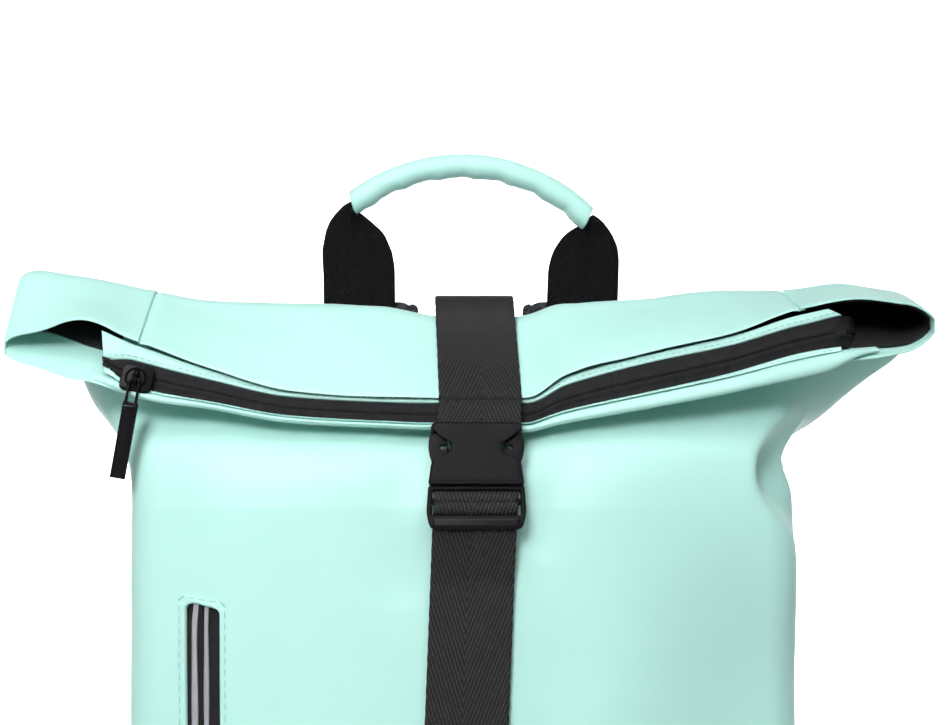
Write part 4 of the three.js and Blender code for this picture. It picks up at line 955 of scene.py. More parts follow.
def strap(name, path, width, thick, stands_for, material, zero=0.0):
    """Webbing along a path whose face turns about X. Its map is across and along, in millimetres."""
    path = np.asarray(path, float)
    tangent = unit(np.gradient(path, axis=0) * np.array([0, 1, 1]))
    out = np.stack([np.zeros(len(path)), tangent[:, 2], -tangent[:, 1]], -1)
    a = np.linspace(-1, 1, 25)
    a = np.sign(a) * (1 - (1 - np.abs(a)) ** 1.35)
    x = a * width / 2
    edge = np.clip((np.abs(x) - (width / 2 - 0.9)) / 0.9, 0, 1)
    half = thick / 2 * np.sqrt(np.maximum(1 - edge * edge * 0.9, 0))
    s = path_length(path)
    wave = 0.12 * np.sin(s * 0.9)[:, None] * (np.abs(a) > 0.9)[None, :]
    middle = path[:, None, :] + x[None, :, None] * np.array([1.0, 0, 0]) * (1 + wave[..., None] / 30)
    outer = middle + out[:, None, :] * half[None, :, None]
    inner = middle - out[:, None, :] * half[None, :, None]
    points, faces = thick_grid(outer, inner)
    uv = np.stack(np.broadcast_arrays(x[None, :], (zero - s)[:, None]), -1).reshape(-1, 2)
    piece(name, points, faces, stands_for=stands_for, slot="webbing", material=material,
          uv=np.concatenate([uv, uv]), angle=60)


def lean_x(z):
    """The closure strap leans a little to one side on its way down."""
    return np.interp(z, [180, 245, 330, 345, 383, 395, 442], [-3.2, -1.4, 1.9, 2.7, 4.2, 4.8, 1.9])


housing_top = PIN / 2 + HOUSING_PLATE
housing_foot = housing_top - HOUSING_LENGTH
frame_foot = housing_foot - FRAME_LENGTH
frame_pin = housing_foot - FRAME_LENGTH * 0.36
wrap = PIN / 2 + CLEARANCE + WEBBING_WALL / 2
tilt = math.radians(BUCKLE_TILT)


def on_buckle(y, z, x=0.0):
    return np.array([x, y * math.cos(tilt) + z * math.sin(tilt) - BUCKLE_REACH,
                     -y * math.sin(tilt) + z * math.cos(tilt) + BUCKLE_TOP - housing_top])


def turn_round(z, start, stop, count):
    turns = np.radians(np.linspace(start, stop, count + 1))
    return [on_buckle(-wrap * math.sin(t), z + wrap * math.cos(t)) for t in turns]


def front_face(z):
    return shell(0.0, np.clip(level_at(z), 0, 1))[..., 1]


def upper_strap():
    lift = CLEARANCE + WEBBING_WALL / 2
    v = np.concatenate([np.linspace(1.12, 2, 24), np.linspace(2.05, 3, 24), np.linspace(3.1, 4, 8)])
    arch = STRAP_ARCH * smooth((v - 1.7) / 0.5) * (1 - smooth((v - 2.5) / 0.8))
    over = inset(np.full(v.shape, 2.0), v, -lift - arch)
    path = np.concatenate([over, turn_round(0, 75, 270, 18), [on_buckle(wrap + WEBBING_WALL, STRAP_HEM)]])
    path = resample(path, 0.9)
    front = np.arange(len(path)) > np.argmax(path[:, 2])
    path[:, 0] = lean_x(path[:, 2])
    first = np.argmax(front & (path[:, 2] < 409))
    zero = path_length(path)[first]
    strap("upper_closure_strap", path, WEBBING - 0.6, WEBBING_WALL, ["strap_upper"], UPPER_WEB, zero)
    return path


def lower_strap():
    lift = CLEARANCE + WEBBING_WALL / 2
    layer = WEBBING_WALL + CLEARANCE
    foot = on_buckle(0, frame_foot)[2]
    anchored = [[0, front_face(z) - lift, z] for z in np.linspace(STRAP_ANCHOR_HEIGHT, foot - 24, 30)]
    tail = [[0, front_face(z) - lift - layer, z] for z in np.linspace(foot - 24, foot - STRAP_TAIL, 30)]
    behind, ahead = on_buckle(wrap, frame_foot), on_buckle(wrap - layer, frame_foot)
    folded = [(3.4, -33.0), (3.3, -30.0), (2.4, -28.0), (0.8, -26.9), (-0.9, -27.2), (-2.3, -28.6),
              (-2.7, -30.3), (-2.4, -31.5), (-1.5, -32.1), (-2.0, -32.8), (-2.3, -34.2), (-2.0, -36.0),
              (-0.7, -37.4), (0.7, -38.4)]
    path = np.array([*anchored, behind, *(on_buckle(y, z) for y, z in folded), ahead, *tail])
    path = resample(path, 0.55)
    path[:, 0] = lean_x(path[:, 2])
    strap("lower_closure_strap", path, WEBBING - 0.6, WEBBING_WALL, ["strap_lower"], LOWER_WEB, 0.0)


upper_path = upper_strap()
lower_strap()


# Stitches: short threads joined into one mesh
def stitches(name, centres, along, out, length, radius, material, slot="coated_fabric"):
    centres, along, out = (np.asarray(a, float) for a in (centres, along, out))
    across = unit(np.cross(along, out))
    points, faces = [], []
    sides = 6
    profile = [(-0.5, 0.25), (-0.38, 0.85), (0, 1.0), (0.38, 0.85), (0.5, 0.25)]
    for c, t, o, w in zip(centres, along, out, across):
        start = len(points)
        for share, r in profile:
            for k in range(sides):
                turn = 2 * math.pi * k / sides
                points.append(c + t * share * length + w * radius * r * math.cos(turn)
                              + o * radius * r * math.sin(turn))
        faces += grid_faces(len(profile), sides, start, wrap=True).tolist()
        faces.append([start + k for k in range(sides)][::-1])
        faces.append([start + (len(profile) - 1) * sides + k for k in range(sides)])
    piece(name, points, faces, slot=slot, material=material)


def along_line(points, spacing):
    """Even places on a line of points, with the direction there."""
    points = np.asarray(points, float)
    s = path_length(points)
    at = np.arange(spacing / 2, s[-1], spacing)
    centres = np.stack([np.interp(at, s, points[:, i]) for i in range(3)], -1)
    ahead = np.stack([np.interp(at + 0.3, s, points[:, i]) for i in range(3)], -1)
    behind = np.stack([np.interp(at - 0.3, s, points[:, i]) for i in range(3)], -1)
    return centres, unit(ahead - behind), at


def facing_stitches():
    us = np.linspace(-0.766, 0.775, 400)
    length = mouth_length(us)
    for name, edge, way in (("upper_zip_stitches", tape_top, -1), ("lower_zip_stitches", tape_foot, 1)):
        away = 1.9 if way < 0 else np.minimum(1.6, 0.2 * lower_band(us) * length)
        line = on_mouth(us, edge(us) + way * away / length, np.full(us.shape, 0.98 if way < 0 else 1.1))
        centres, along, at = along_line(line, 3.0)
        normal = mouth_normal(np.interp(at, path_length(line), us))
        stitches(name, centres, along, normal, 2.1, 0.2, THREAD)


facing_stitches()


HEM_HEIGHT = 391.8


def hem_stitches():
    front = upper_path[np.argmax(upper_path[:, 2]):]
    i = int(np.argmin(np.abs(front[:, 2] - HEM_HEIGHT) + 50 * (front[:, 1] > -58)))
    xs = np.arange(-17.5, 17.6, 2.5)
    tangent = unit((front[i + 1] - front[i - 1]) * np.array([0, 1, 1]))
    out = np.array([0, tangent[2], -tangent[1]])
    centres = [front[i] + np.array([x, 0, 0]) + out * 0.78 for x in xs]
    stitches("closure_hem_stitches", centres, [[1, 0, 0]] * len(xs), [out] * len(xs), 1.8, 0.28, DARK_THREAD,
             "webbing")


hem_stitches()


# Moulded and cast pieces
def bevelled(name, outlines, thickness, bevel, steps=4):
    """A flat plate with rounded edges, as points and faces. Its outlines lie in x and z and it faces y."""
    curve = bpy.data.curves.new(name, "CURVE")
    curve.dimensions = "2D"
    curve.fill_mode = "BOTH"
    curve.extrude = thickness / 2 - bevel
    curve.bevel_depth = bevel
    curve.bevel_resolution = steps
    curve.offset = -bevel
    for outline in outlines:
        line = curve.splines.new("POLY")
        line.points.add(len(outline) - 1)
        for point, (x, z) in zip(line.points, outline):
            point.co = (x, z, 0, 1)
        line.use_cyclic_u = True
    shape = bpy.data.objects.new(name, curve)
    mesh = bpy.data.meshes.new_from_object(shape)
    work = bmesh.new()
    work.from_mesh(mesh)
    bmesh.ops.remove_doubles(work, verts=work.verts, dist=0.001)
    points = [(v.co.x, -v.co.z, v.co.y) for v in work.verts]
    work.verts.index_update()
    faces = [[v.index for v in f.verts] for f in work.faces]
    work.free()
    bpy.data.objects.remove(shape)
    bpy.data.curves.remove(curve)
    bpy.data.meshes.remove(mesh)
    return np.array(points), faces


def rounded(points, radius, steps=5):
    """An outline with its corners rounded."""
    points = [np.array(p, float) for p in points]
    result = []
    for i, corner in enumerate(points):
        before, after = points[i - 1] - corner, points[(i + 1) % len(points)] - corner
        reach = radius[i] if isinstance(radius, (list, tuple)) else radius
        reach = min(reach, np.linalg.norm(before) * 0.49, np.linalg.norm(after) * 0.49)
        a, b = corner + unit(before) * reach, corner + unit(after) * reach
        for t in np.linspace(0, 1, steps + 1):
            result.append(a * (1 - t) ** 2 + corner * 2 * t * (1 - t) + b * t * t)
    return result


def box_outline(width, height, x=0.0, z=0.0):
    w, h = width / 2, height / 2
    return [(x - w, z - h), (x + w, z - h), (x + w, z + h), (x - w, z + h)]


def together(*parts):
    """Joins lists of points and faces."""
    points, faces, start = [], [], 0
    for part_points, part_faces in parts:
        points.append(np.asarray(part_points, float))
        faces += [[start + i for i in f] for f in part_faces]
        start += len(part_points)
    return np.concatenate(points), faces


def placed(part, axes, origin):
    points, faces = part
    return np.asarray(points) @ np.array(axes) + np.asarray(origin), faces


def rod(a, b, radius, sides=20, rounding=0.3):
    a, b = np.array(a, float), np.array(b, float)
    along = unit(b - a)
    side = unit(np.cross(along, [0, 0.3, 1]))
    up = np.cross(side, along)
    turns = np.linspace(0, 2 * math.pi, sides, endpoint=False)
    ring = np.cos(turns)[:, None] * side + np.sin(turns)[:, None] * up
    ends = [(0, radius - rounding), (rounding * 0.3, radius - rounding * 0.3), (rounding, radius)]
    rows = [a + along * d + ring * r for d, r in ends] + [b - along * d + ring * r for d, r in ends[::-1]]
    return tube(rows)


def lathe(profile, sides=40):
    """Turned about the axis that points away from the bag. The profile is radius and height."""
    turns = np.linspace(0, 2 * math.pi, sides, endpoint=False)
    rows = [np.stack([r * np.cos(turns), np.full(sides, -h), r * np.sin(turns)], -1) for r, h in profile]
    return tube(rows)


def carve(obj, boxes):
    """Cuts boxes out of a piece. Each is centre, size and three axes."""
    for centre, size, axes in boxes:
        mesh = bpy.data.meshes.new("cutter")
        corners = np.array([[x, y, z] for x in (-.5, .5) for y in (-.5, .5) for z in (-.5, .5)]) * size
        points = (corners @ np.array(axes) + centre) * MM
        faces = [(0, 1, 3, 2), (4, 6, 7, 5), (0, 4, 5, 1), (2, 3, 7, 6), (0, 2, 6, 4), (1, 5, 7, 3)]
        mesh.from_pydata(points.tolist(), [], faces)
        tool = bpy.data.objects.new("cutter", mesh)
        bpy.context.scene.collection.objects.link(tool)
        cut = obj.modifiers.new("cut", "BOOLEAN")
        cut.operation, cut.solver, cut.object = "DIFFERENCE", "EXACT", tool
        bpy.context.view_layer.update()
        done = bpy.data.meshes.new_from_object(obj.evaluated_get(bpy.context.evaluated_depsgraph_get()))
        obj.modifiers.clear()
        old, obj.data = obj.data, done
        bpy.data.meshes.remove(old)
        bpy.data.objects.remove(tool)
        bpy.data.meshes.remove(mesh)


def smooth_outline(points, count, closed=True):
    """A curve through the points, at even steps."""
    points = np.asarray(points, float)
    loop = np.vstack([points, points[:1]]) if closed else points
    s = path_length(loop)
    even = np.linspace(0, s[-1], count * 4, endpoint=not closed)
    line = np.stack([np.interp(even, s, loop[:, i]) for i in range(loop.shape[1])], -1)
    for _ in range(6):
        if closed:
            line = (np.roll(line, 1, 0) + 2 * line + np.roll(line, -1, 0)) / 4
        else:
            line[1:-1] = (line[:-2] + 2 * line[1:-1] + line[2:]) / 4
    return line[::4]


# The side release buckle, in its own tilted frame
BUCKLE_AXES = [[1, 0, 0], [0, math.cos(tilt), -math.sin(tilt)], [0, math.sin(tilt), math.cos(tilt)]]
BUCKLE_ORIGIN = [STRAP_X, -BUCKLE_REACH, BUCKLE_TOP - housing_top]

# Half of the housing's outline from its head to its foot
HOUSING_ROWS = table("z half", [
    (3.5, 17.6), (3.3, 18.9), (2.3, 19.8), (0.9, 19.9), (-0.3, 19.0), (-1.1, 17.2), (-2.6, 14.4),
    (-4.2, 12.6), (-6.2, 11.7), (-8.2, 11.5), (-10.0, 12.1), (-11.4, 13.9), (-12.4, 16.6), (-12.9, 18.4),
    (-14.0, 19.6), (-16.5, 20.2), (-20.5, 20.7), (-23.6, 21.2), (-24.4, 20.9), (-24.5, 20.0),
])


# How far in from the outline, and the depth there, over the rounded edge of the housing's cap
CAP_PROFILE = [(0, -4.5), (0.10, -4.95), (0.32, -5.32), (0.7, -5.52), (0.95, -5.46), (1.15, -5.44),
               (1.5, -5.56), (2.0, -5.61), (4, -5.62), (7, -5.62)]


def housing():
    right = [(row["half"], row["z"]) for row in HOUSING_ROWS]
    outline = smooth_outline(right + [(-x, z) for x, z in right[::-1]], 200)
    low, high = outline[:, 1].min(), outline[:, 1].max()
    middle = np.array([0, (low + high) / 2])
    half = np.array([21.0, (high - low) / 2])
    back = np.where(outline[:, 1] > -3.6, -3.7, mix(-3.7, 5.6, smooth((-3.2 - outline[:, 1]) / 1.2)))
    rings = []
    for inset_by, ahead in ((6, 0), (0.6, 0), (0, 0.5)):
        scale = 1 - inset_by / half
        flat = middle + (outline - middle) * scale
        rings.append(np.column_stack([flat[:, 0], back - ahead, flat[:, 1]]))
    for inset_by, y in CAP_PROFILE:
        scale = 1 - inset_by / half
        flat = middle + (outline - middle) * scale
        rings.append(np.column_stack([flat[:, 0], np.full(len(flat), y), flat[:, 1]]))
    body = placed(tube(rings), BUCKLE_AXES, BUCKLE_ORIGIN)
    obj = piece("buckle_housing_body", *body, stands_for=["buckle_housing"], slot="black_plastic",
                material=PLASTIC, angle=32)
    holes = []
    for way in (-1, 1):
        holes.append((on_buckle(0.3, -19.0, STRAP_X + way * 17.3), (11.4, 6.6, 14.5), BUCKLE_AXES))
    holes.append((on_buckle(0.3, -19.5, STRAP_X), (10.4, 6.2, 13.5), BUCKLE_AXES))
    carve(obj, holes)
    pin = placed(rod((-20, 0, 0), (20, 0, 0), PIN / 2, 24), BUCKLE_AXES, BUCKLE_ORIGIN)
    side = []
    for way in (-1, 1):
        corners = [(way * x, y) for x, y in ((19.2, -4.2), (20.2, -4.2), (20.2, 1.5), (19.2, 1.5))]
        block = tube([[(x, y, z) for x, y in corners] for z in (-1.4, 1.6)])
        side.append(placed(block, BUCKLE_AXES, BUCKLE_ORIGIN))
    piece("buckle_housing_pin", *together(pin, *side), slot="black_plastic", material=PLASTIC)


def insert():
    outline = rounded([(21.3, -24.9), (-21.3, -24.9), (-22.2, -37.5), (-20.2, -44.3), (20.2, -44.3),
                       (22.2, -37.5)], [1.2, 1.2, 5, 3.2, 3.2, 5], 8)
    window = rounded([(19.4, -26.9), (-19.4, -26.9), (-19.7, -37.9), (19.7, -37.9)], 1.0, 5)
    frame_part = bevelled("insert_frame", [outline, window], 6.4, 1.0, 5)
    arms = []
    for way in (-1, 1):
        shape = [(12.9, -26.0), (12.9, -12.5), (12.4, -9.5), (12.4, -6.2), (13.5, -3.8), (15.6, -2.1),
                 (18.4, -0.9), (20.3, -1.9), (21.2, -4.4), (21.3, -8.5), (20.6, -12.0), (19.9, -13.6),
                 (19.9, -26.0)]
        turns = np.linspace(0, 2 * math.pi, 20, endpoint=False)
        hole = [(way * (14.6 + 1.6 * math.cos(t)), -7.6 + 1.05 * math.sin(t)) for t in turns]
        shape = [(way * x, z) for x, z in shape]
        if way > 0:
            shape = shape[::-1]
        arms.append(bevelled("insert_arm", [rounded(shape, 1.3, 4), hole[::-1]], 5.2, 0.45, 3))
    tongue = bevelled("insert_tongue", [rounded(box_outline(8.6, 13.4, 0, -19.6), 1.0)], 5.2, 0.6, 3)
    pin = rod((-20.8, 0, frame_pin), (20.8, 0, frame_pin), PIN / 2, 24)
    obj = piece("buckle_insert_frame", *placed(frame_part, BUCKLE_AXES, BUCKLE_ORIGIN),
                stands_for=["buckle_insert"], slot="black_plastic", material=PLASTIC, angle=32)
    carve(obj, [(on_buckle(3.0, frame_foot, STRAP_X), (39.6, 6.4, 13.6), BUCKLE_AXES)])
    inner = placed(together(*arms, tongue, pin), BUCKLE_AXES, BUCKLE_ORIGIN)
    piece("buckle_insert_arms", *inner, slot="black_plastic", material=PLASTIC, angle=32)
    bar = bevelled("insert_bar", [rounded(box_outline(39.0, 5.2, 0, -41.2), 1.6, 6)], 3.6, 1.5, 6)
    points, faces = placed(bar, BUCKLE_AXES, BUCKLE_ORIGIN)
    points = points + (on_buckle(-1.9, 0) - on_buckle(0, 0))
    piece("buckle_insert_bar", points, faces, slot="black_plastic", material=GLOSS, angle=40)


housing()
insert()


# The zip's slider and its pull, in the slider's frame: along the zip, inward and up
slider_along = np.array([0.9843, 0.0281, -0.1744])
slider_in = np.array([-0.0641, 0.9767, -0.2047])
slider_up = np.array([0.1646, 0.2127, 0.9631])
SLIDER_AXES = [slider_along, slider_in, slider_up]
SLIDER_ORIGIN = np.array([-149.7973, -59.8488, 406.6188])
PULL_HINGE = np.array([-150.447, -65.456, 402.050])
EYE_REACH, EYE_DROP = 4.5, 5.7


def slider():
    low = SLIDER_ORIGIN - slider_up * 4.4 - slider_in * 0.6
    outline = rounded([(-7.0, -4.6), (-5.4, -6.2), (5.4, -6.2), (7.8, -4.6), (8.0, 4.8), (4.6, 6.8),
                       (1.2, 6.2), (-3.2, 6.6), (-6.8, 5.4)], 1.6, 4)
    plate = placed(bevelled("slider_plate", [outline], 2.2, 0.6, 4), SLIDER_AXES, low - slider_in * 1.3)
    boss = [(0.4, 1.0), (5.1, 1.0), (5.15, 2.0), (4.95, 2.5), (4.5, 2.75), (4.0, 2.6), (3.7, 2.2),
            (3.4, 2.0), (3.0, 2.15), (2.4, 2.4), (1.5, 2.6), (0.4, 2.7)]
    dome = placed(lathe(boss), SLIDER_AXES, low)
    turns = np.radians(np.linspace(-60, 240, 31))
    centre = np.array([0, -EYE_REACH, -EYE_DROP])
    section = np.linspace(0, 2 * math.pi, 12, endpoint=False)
    rings = []
    for t in turns:
        out = np.array([0, -math.cos(t), -math.sin(t)])
        mid = centre + out * 1.62
        rings.append([mid + out * 0.52 * math.cos(a) + np.array([1.2, 0, 0]) * math.sin(a) for a in section])
    eye = placed(tube(rings), SLIDER_AXES, SLIDER_ORIGIN)
    arm_rings = []
    for z, y0, y1, w in ((-3.7, -5.2, -2.2, 1.0), (-3.0, -5.4, -2.2, 1.1), (-1.8, -5.0, -2.0, 1.2),
                         (-0.6, -3.4, -1.6, 1.2)):
        arm_rings.append([(-w, y0 + 0.3, z), (-w + 0.4, y0, z), (w - 0.4, y0, z), (w, y0 + 0.3, z),
                          (w, y1, z), (-w, y1, z)])
    arm = placed(tube(arm_rings), SLIDER_AXES, SLIDER_ORIGIN)
    piece("slider_body", *together(plate, dome, eye, arm), stands_for=["zip_slider"], slot="black_metal",
          material=METAL, angle=32)


def pull():
    up = unit(np.array([0, 0, 1.0]) - slider_along * slider_along[2])
    inward = np.cross(up, slider_along)
    axes = [slider_along, inward, up]
    outline = rounded([(-2.4, 1.1), (2.4, 1.1), (2.8, -1.5), (2.9, -9.6), (3.5, -10.6), (3.5, -44.8),
                       (-3.5, -44.8), (-3.5, -10.6), (-2.9, -9.6), (-2.8, -1.5)],
                      [1.0, 1.0, 0.8, 0.4, 0.4, 0.45, 0.45, 0.4, 0.4, 0.8], 4)
    window = rounded([(-1.6, -0.7), (-1.6, -9.7), (1.6, -9.7), (1.6, -0.7)], 0.6, 4)
    body = bevelled("pull_plate", [outline, window], 1.9, 0.42, 4)
    face = bevelled("pull_face", [rounded(box_outline(5.2, 32.4, -0.3, -27.8), 0.6, 4)], 0.7, 0.3, 3)
    points, faces = face
    face = (points + np.array([0, -0.85, 0]), faces)
    piece("pull_tag", *placed(together(body, face), axes, PULL_HINGE), body="pull", stands_for=["zip_pull"],
          slot="black_metal", material=PULL_METAL, angle=32)


slider()
pull()


# The carrying handle: webbing legs gathered into a cloth tube
HANDLE_Y = 70.3525
GRIP_SEAM = 2.15
grip_radius = (GRIP_SPAN ** 2 / 4 + GRIP_RISE ** 2) / (2 * GRIP_RISE)
grip_sweep = math.asin(GRIP_SPAN / 2 / grip_radius)
grip_tilt = math.radians(GRIP_TILT)


def grip_point(share):
    turn = grip_sweep * share
    flat_x = grip_radius * math.sin(turn)
    flat_z = grip_radius * (math.cos(turn) - math.cos(grip_sweep))
    return np.array([flat_x * math.cos(grip_tilt) - flat_z * math.sin(grip_tilt), HANDLE_Y,
                     GRIP_END_HEIGHT + flat_x * math.sin(grip_tilt) + flat_z * math.cos(grip_tilt)])


def grip():
    sides = 40
    rings = []
    shares = np.concatenate([[-1.0, -0.997, -0.985], np.linspace(-0.96, 0.96, 130), [0.985, 0.997, 1.0]])
    for i, share in enumerate(shares):
        turn = -grip_sweep * share + grip_tilt
        up = np.array([-math.sin(turn), 0, math.cos(turn)])
        along = np.array([math.cos(turn), 0, math.sin(turn)])
        edge = min(i, len(shares) - 1 - i)
        shrink = (0.80, 0.93, 0.99)[edge] if edge < 3 else 1.0
        a = (np.arange(sides) + 0.5) / sides * 2 * math.pi
        under = np.clip(-np.cos(a), 0, 1)
        wave = 0.34 * np.sin(share * 21 + 0.6) + 0.16 * np.sin(share * 43 + 1.1) + 0.04 * np.sin(share * 83)
        pinch = 0.04 * np.sin(share * 130 + 2.2 * np.sin(a)) * (0.3 + under)
        swell = 0.25 * np.cos(share * 7.0)
        radius = (GRIP_DIAMETER / 2 * 0.95 + swell * 0.3 + under * (1.1 + wave * 1.3) + pinch) * shrink
        radius = radius - 0.45 * np.exp(-((a - GRIP_SEAM) / 0.12) ** 2)
        slant = -2.0 * np.cos(a) * np.sign(share) * max(0, (abs(share) - 0.88) / 0.12)
        rings.append(grip_point(share) + np.outer(radius * np.cos(a), up) + np.outer(slant, along)
                     + np.outer(radius * np.sin(a), [0, 1, 0]))
    points, faces = tube(rings)
    piece("grip_cloth", points, faces, stands_for=["handle_grip"], slot="coated_fabric", material=CLOTH,
          angle=50)


# Side edges of the handle's legs, from the grip down to the seam on the back
LEG_EDGES = {
    "left": dict(
        one=[(-62.6, 494.6), (-66.6, 492.4), (-70.5, 488.2), (-73.6, 483.8), (-75.5, 478.9), (-77.4, 469),
             (-77.2, 462), (-76.8, 455.8), (-76.6, 439), (-76.9, 400), (-77.0, 330)],
        two=[(-58.2, 488.6), (-54.6, 486.2), (-50.7, 482.7), (-47.2, 479.6), (-44.7, 476.7), (-40.9, 467.9),
             (-39.8, 462), (-39.4, 458), (-39.2, 439), (-40.4, 400), (-41.0, 330)]),
    "right": dict(
        one=[(57.6, 482.2), (54.6, 480.6), (51.2, 478.4), (48.1, 475.6), (44.8, 471), (42.6, 466.8),
             (41.0, 461), (40.4, 457), (39.8, 439), (40.6, 400), (41.0, 330)],
        two=[(64.2, 487.6), (67.4, 485.6), (70.2, 482.8), (72.6, 479.4), (74.9, 475.4), (76.9, 470.2),
             (77.6, 464), (77.5, 458), (76.9, 439), (76.9, 400), (77.0, 330)]),
}


def handle_leg(side):
    edges = LEG_EDGES[side]
    one = smooth_outline(edges["one"], 90, closed=False)
    two = smooth_outline(edges["two"], 90, closed=False)
    rows, cols = len(one), 33
    a = np.linspace(-1, 1, cols)
    outer, inner = np.zeros((rows, cols, 3)), np.zeros((rows, cols, 3))
    width = np.linalg.norm(two - one, axis=1)
    gather = smooth((37 - width) / 24)
    middle = (one + two) / 2
    s = path_length(middle)
    for i in range(rows):
        flat = one[i] + (two[i] - one[i]) * ((a + 1) / 2)[:, None]
        pleat = gather[i] * (2.1 * np.cos(a * math.pi) + 0.7 * np.cos(a * math.pi * 3.2 + 0.5))
        pleat = pleat - 1.2 * gather[i]
        cup = 0.25 * np.cos(a * 2.2)
        rounding = np.clip((np.abs(a) - 0.94) / 0.06, 0, 1) ** 2 * 0.9
        half = WEBBING_WALL / 2 * np.sqrt(np.maximum(1 - rounding, 0))
        half = half + gather[i] * 1.6 * np.sqrt(np.maximum(1 - a * a, 0))
        depth = HANDLE_Y + cup * gather[i] - pleat
        outer[i] = np.column_stack([flat[:, 0], depth - half, flat[:, 1]])
        inner[i] = np.column_stack([flat[:, 0], depth + half, flat[:, 1]])
    points, faces = thick_grid(outer, inner)
    across = np.broadcast_to(a * WEBBING / 2, (rows, cols))
    uv = np.stack([across, np.broadcast_to(-s[:, None], (rows, cols))], -1).reshape(-1, 2)
    piece(f"leg_webbing_{side}", points, faces, stands_for=[f"handle_leg_{side}"], slot="webbing",
          material=PLAIN_WEB, uv=np.concatenate([uv, uv]), angle=60)


grip()
handle_leg("left")
handle_leg("right")

# The padded back
PAD_FOOT, PAD_TOP, PAD_WIDTH, PAD_THICK = 56, 320, 244, 8
back_share = level_at([PAD_FOOT, PAD_TOP])


def back_pad():
    rows, cols = 130, 120
    c = np.linspace(-1, 1, cols)[None, :]
    r = np.linspace(0, 1, rows)[:, None]
    c, r = np.broadcast_arrays(c, r)
    near_end = np.clip((np.abs(2 * r - 1) - 0.86) / 0.14, 0, 1)
    tuck = (1 - np.sqrt(np.maximum(1 - near_end ** 2, 0))) * np.sign(c) * 0.06
    share = c - tuck * np.clip(np.abs(c), 0, 1)
    v = back_share[0] + (back_share[1] - back_share[0]) * r
    edge = np.sqrt(np.maximum(1 - np.abs(c) ** 10, 0)) * np.sqrt(np.maximum(1 - np.abs(2 * r - 1) ** 12, 0))
    channel = np.zeros(c.shape)
    for at in (-0.36, 0.36):
        channel = np.maximum(channel, np.exp(-((c - at) / 0.030) ** 2))
    for k in range(1, 6):
        line = k / 6 + 0.05 * np.abs(c)
        channel = np.maximum(channel, np.exp(-((r - line) / 0.012) ** 2) * (np.abs(c) > 0.36))
    binding = np.maximum(np.abs(c), np.abs(2 * r - 1))
    piping = 0.9 * np.exp(-((binding - 0.965) / 0.018) ** 2)
    height = 1.4 + (PAD_THICK - 1.4) * edge * (1 - 0.55 * channel) * (0.9 + 0.1 * np.cos(c * 9))
    p = 2 - share * PAD_WIDTH / 2 / half_flat
    outer = inset(p, v, -0.5 - np.minimum(height + piping, PAD_THICK + 0.6))
    inner = inset(p, v, np.full(p.shape, -0.45))
    points, faces = thick_grid(outer, inner)
    obj = piece("back_pad_mesh", points, faces, stands_for=["back_pad"], slot="padded_mesh", material=MESH,
                angle=50)


SHOULDER_ROWS = table("at rise out spread wide thick", [
    (0.00, 0.620, 0.00, 0.00, 0.00, 0.50), (0.08, 0.800, 0.03, 0.00, 0.00, 0.60),
    (0.16, 0.940, 0.08, 0.00, 0.00, 0.75), (0.22, 0.980, 0.30, 0.02, 0.05, 0.90),
    (0.28, 0.950, 0.62, 0.05, 0.10, 1.00), (0.40, 0.820, 0.90, 0.15, 0.30, 1.00),
    (0.60, 0.550, 1.00, 0.45, 0.90, 1.00), (0.80, 0.270, 0.95, 0.80, 1.00, 1.00),
    (0.94, 0.060, 0.85, 0.98, 0.60, 0.80), (1.00, 0.000, 0.82, 1.00, 0.30, 0.45),
])
SHOULDER_FOOT, SHOULDER_TOP, SHOULDER_NEAR, SHOULDER_ROOM = 150, 443, 74.2025, 19
SHOULDER_FOOT_X, SHOULDER_TOP_X, SHOULDER_THICK = 98.0, 52.0, 11


def shoulder_path(way, count=150):
    curves = {key: column(SHOULDER_ROWS, key) for key in ("rise", "out", "spread", "wide", "thick")}
    at = np.linspace(0, 1, count)
    rows = {key: curve(at) for key, curve in curves.items()}
    path = np.stack([way * mix(SHOULDER_TOP_X, SHOULDER_FOOT_X, rows["spread"]),
                     SHOULDER_NEAR + SHOULDER_ROOM * rows["out"],
                     mix(SHOULDER_FOOT, SHOULDER_TOP, rows["rise"])], -1)
    return path, rows


def shoulder_strap(side, way):
    path, rows = shoulder_path(way)
    tangent = unit(np.gradient(path, axis=0) * np.array([0, 1, 1]))
    out = np.stack([np.zeros(len(path)), tangent[:, 2], -tangent[:, 1]], -1)
    turns = np.linspace(0, 2 * math.pi, 48, endpoint=False)
    cx, sx = np.cos(turns), np.sin(turns)
    flat = np.sign(cx) * np.abs(cx) ** 0.42
    round_side = np.sign(sx) * np.abs(sx) ** 0.62
    rings = []
    for i in range(len(path)):
        half_wide = mix(50, 66, rows["wide"][i]) / 2
        half_thick = SHOULDER_THICK * rows["thick"][i] / 2
        end = min(1, min(i + 0.25, len(path) - 1 - i + 0.25) / 3)
        edge = np.exp(-((np.abs(flat) - 0.80) / 0.05) ** 2)
        thick = half_thick * (1 - 0.30 * edge) * math.sqrt(1 - (1 - end) ** 2 * 0.8)
        wide = np.outer(flat * half_wide, [1.0, 0, 0])
        rings.append(path[i] + wide + np.outer(round_side * thick, out[i]))
    points, faces = tube(rings)
    obj = piece(f"shoulder_pad_{side}", points, faces, stands_for=[f"shoulder_strap_{side}"],
                slot="padded_mesh", material=MESH, angle=50)
    trimmed = slice(30, 128)
    lift = SHOULDER_THICK * rows["thick"][trimmed] / 2 + 0.55
    trim = path[trimmed] + out[trimmed] * lift[:, None]
    strap(f"shoulder_trim_{side}", resample(trim, 1.5), 24, 1.1, [], PLAIN_WEB)


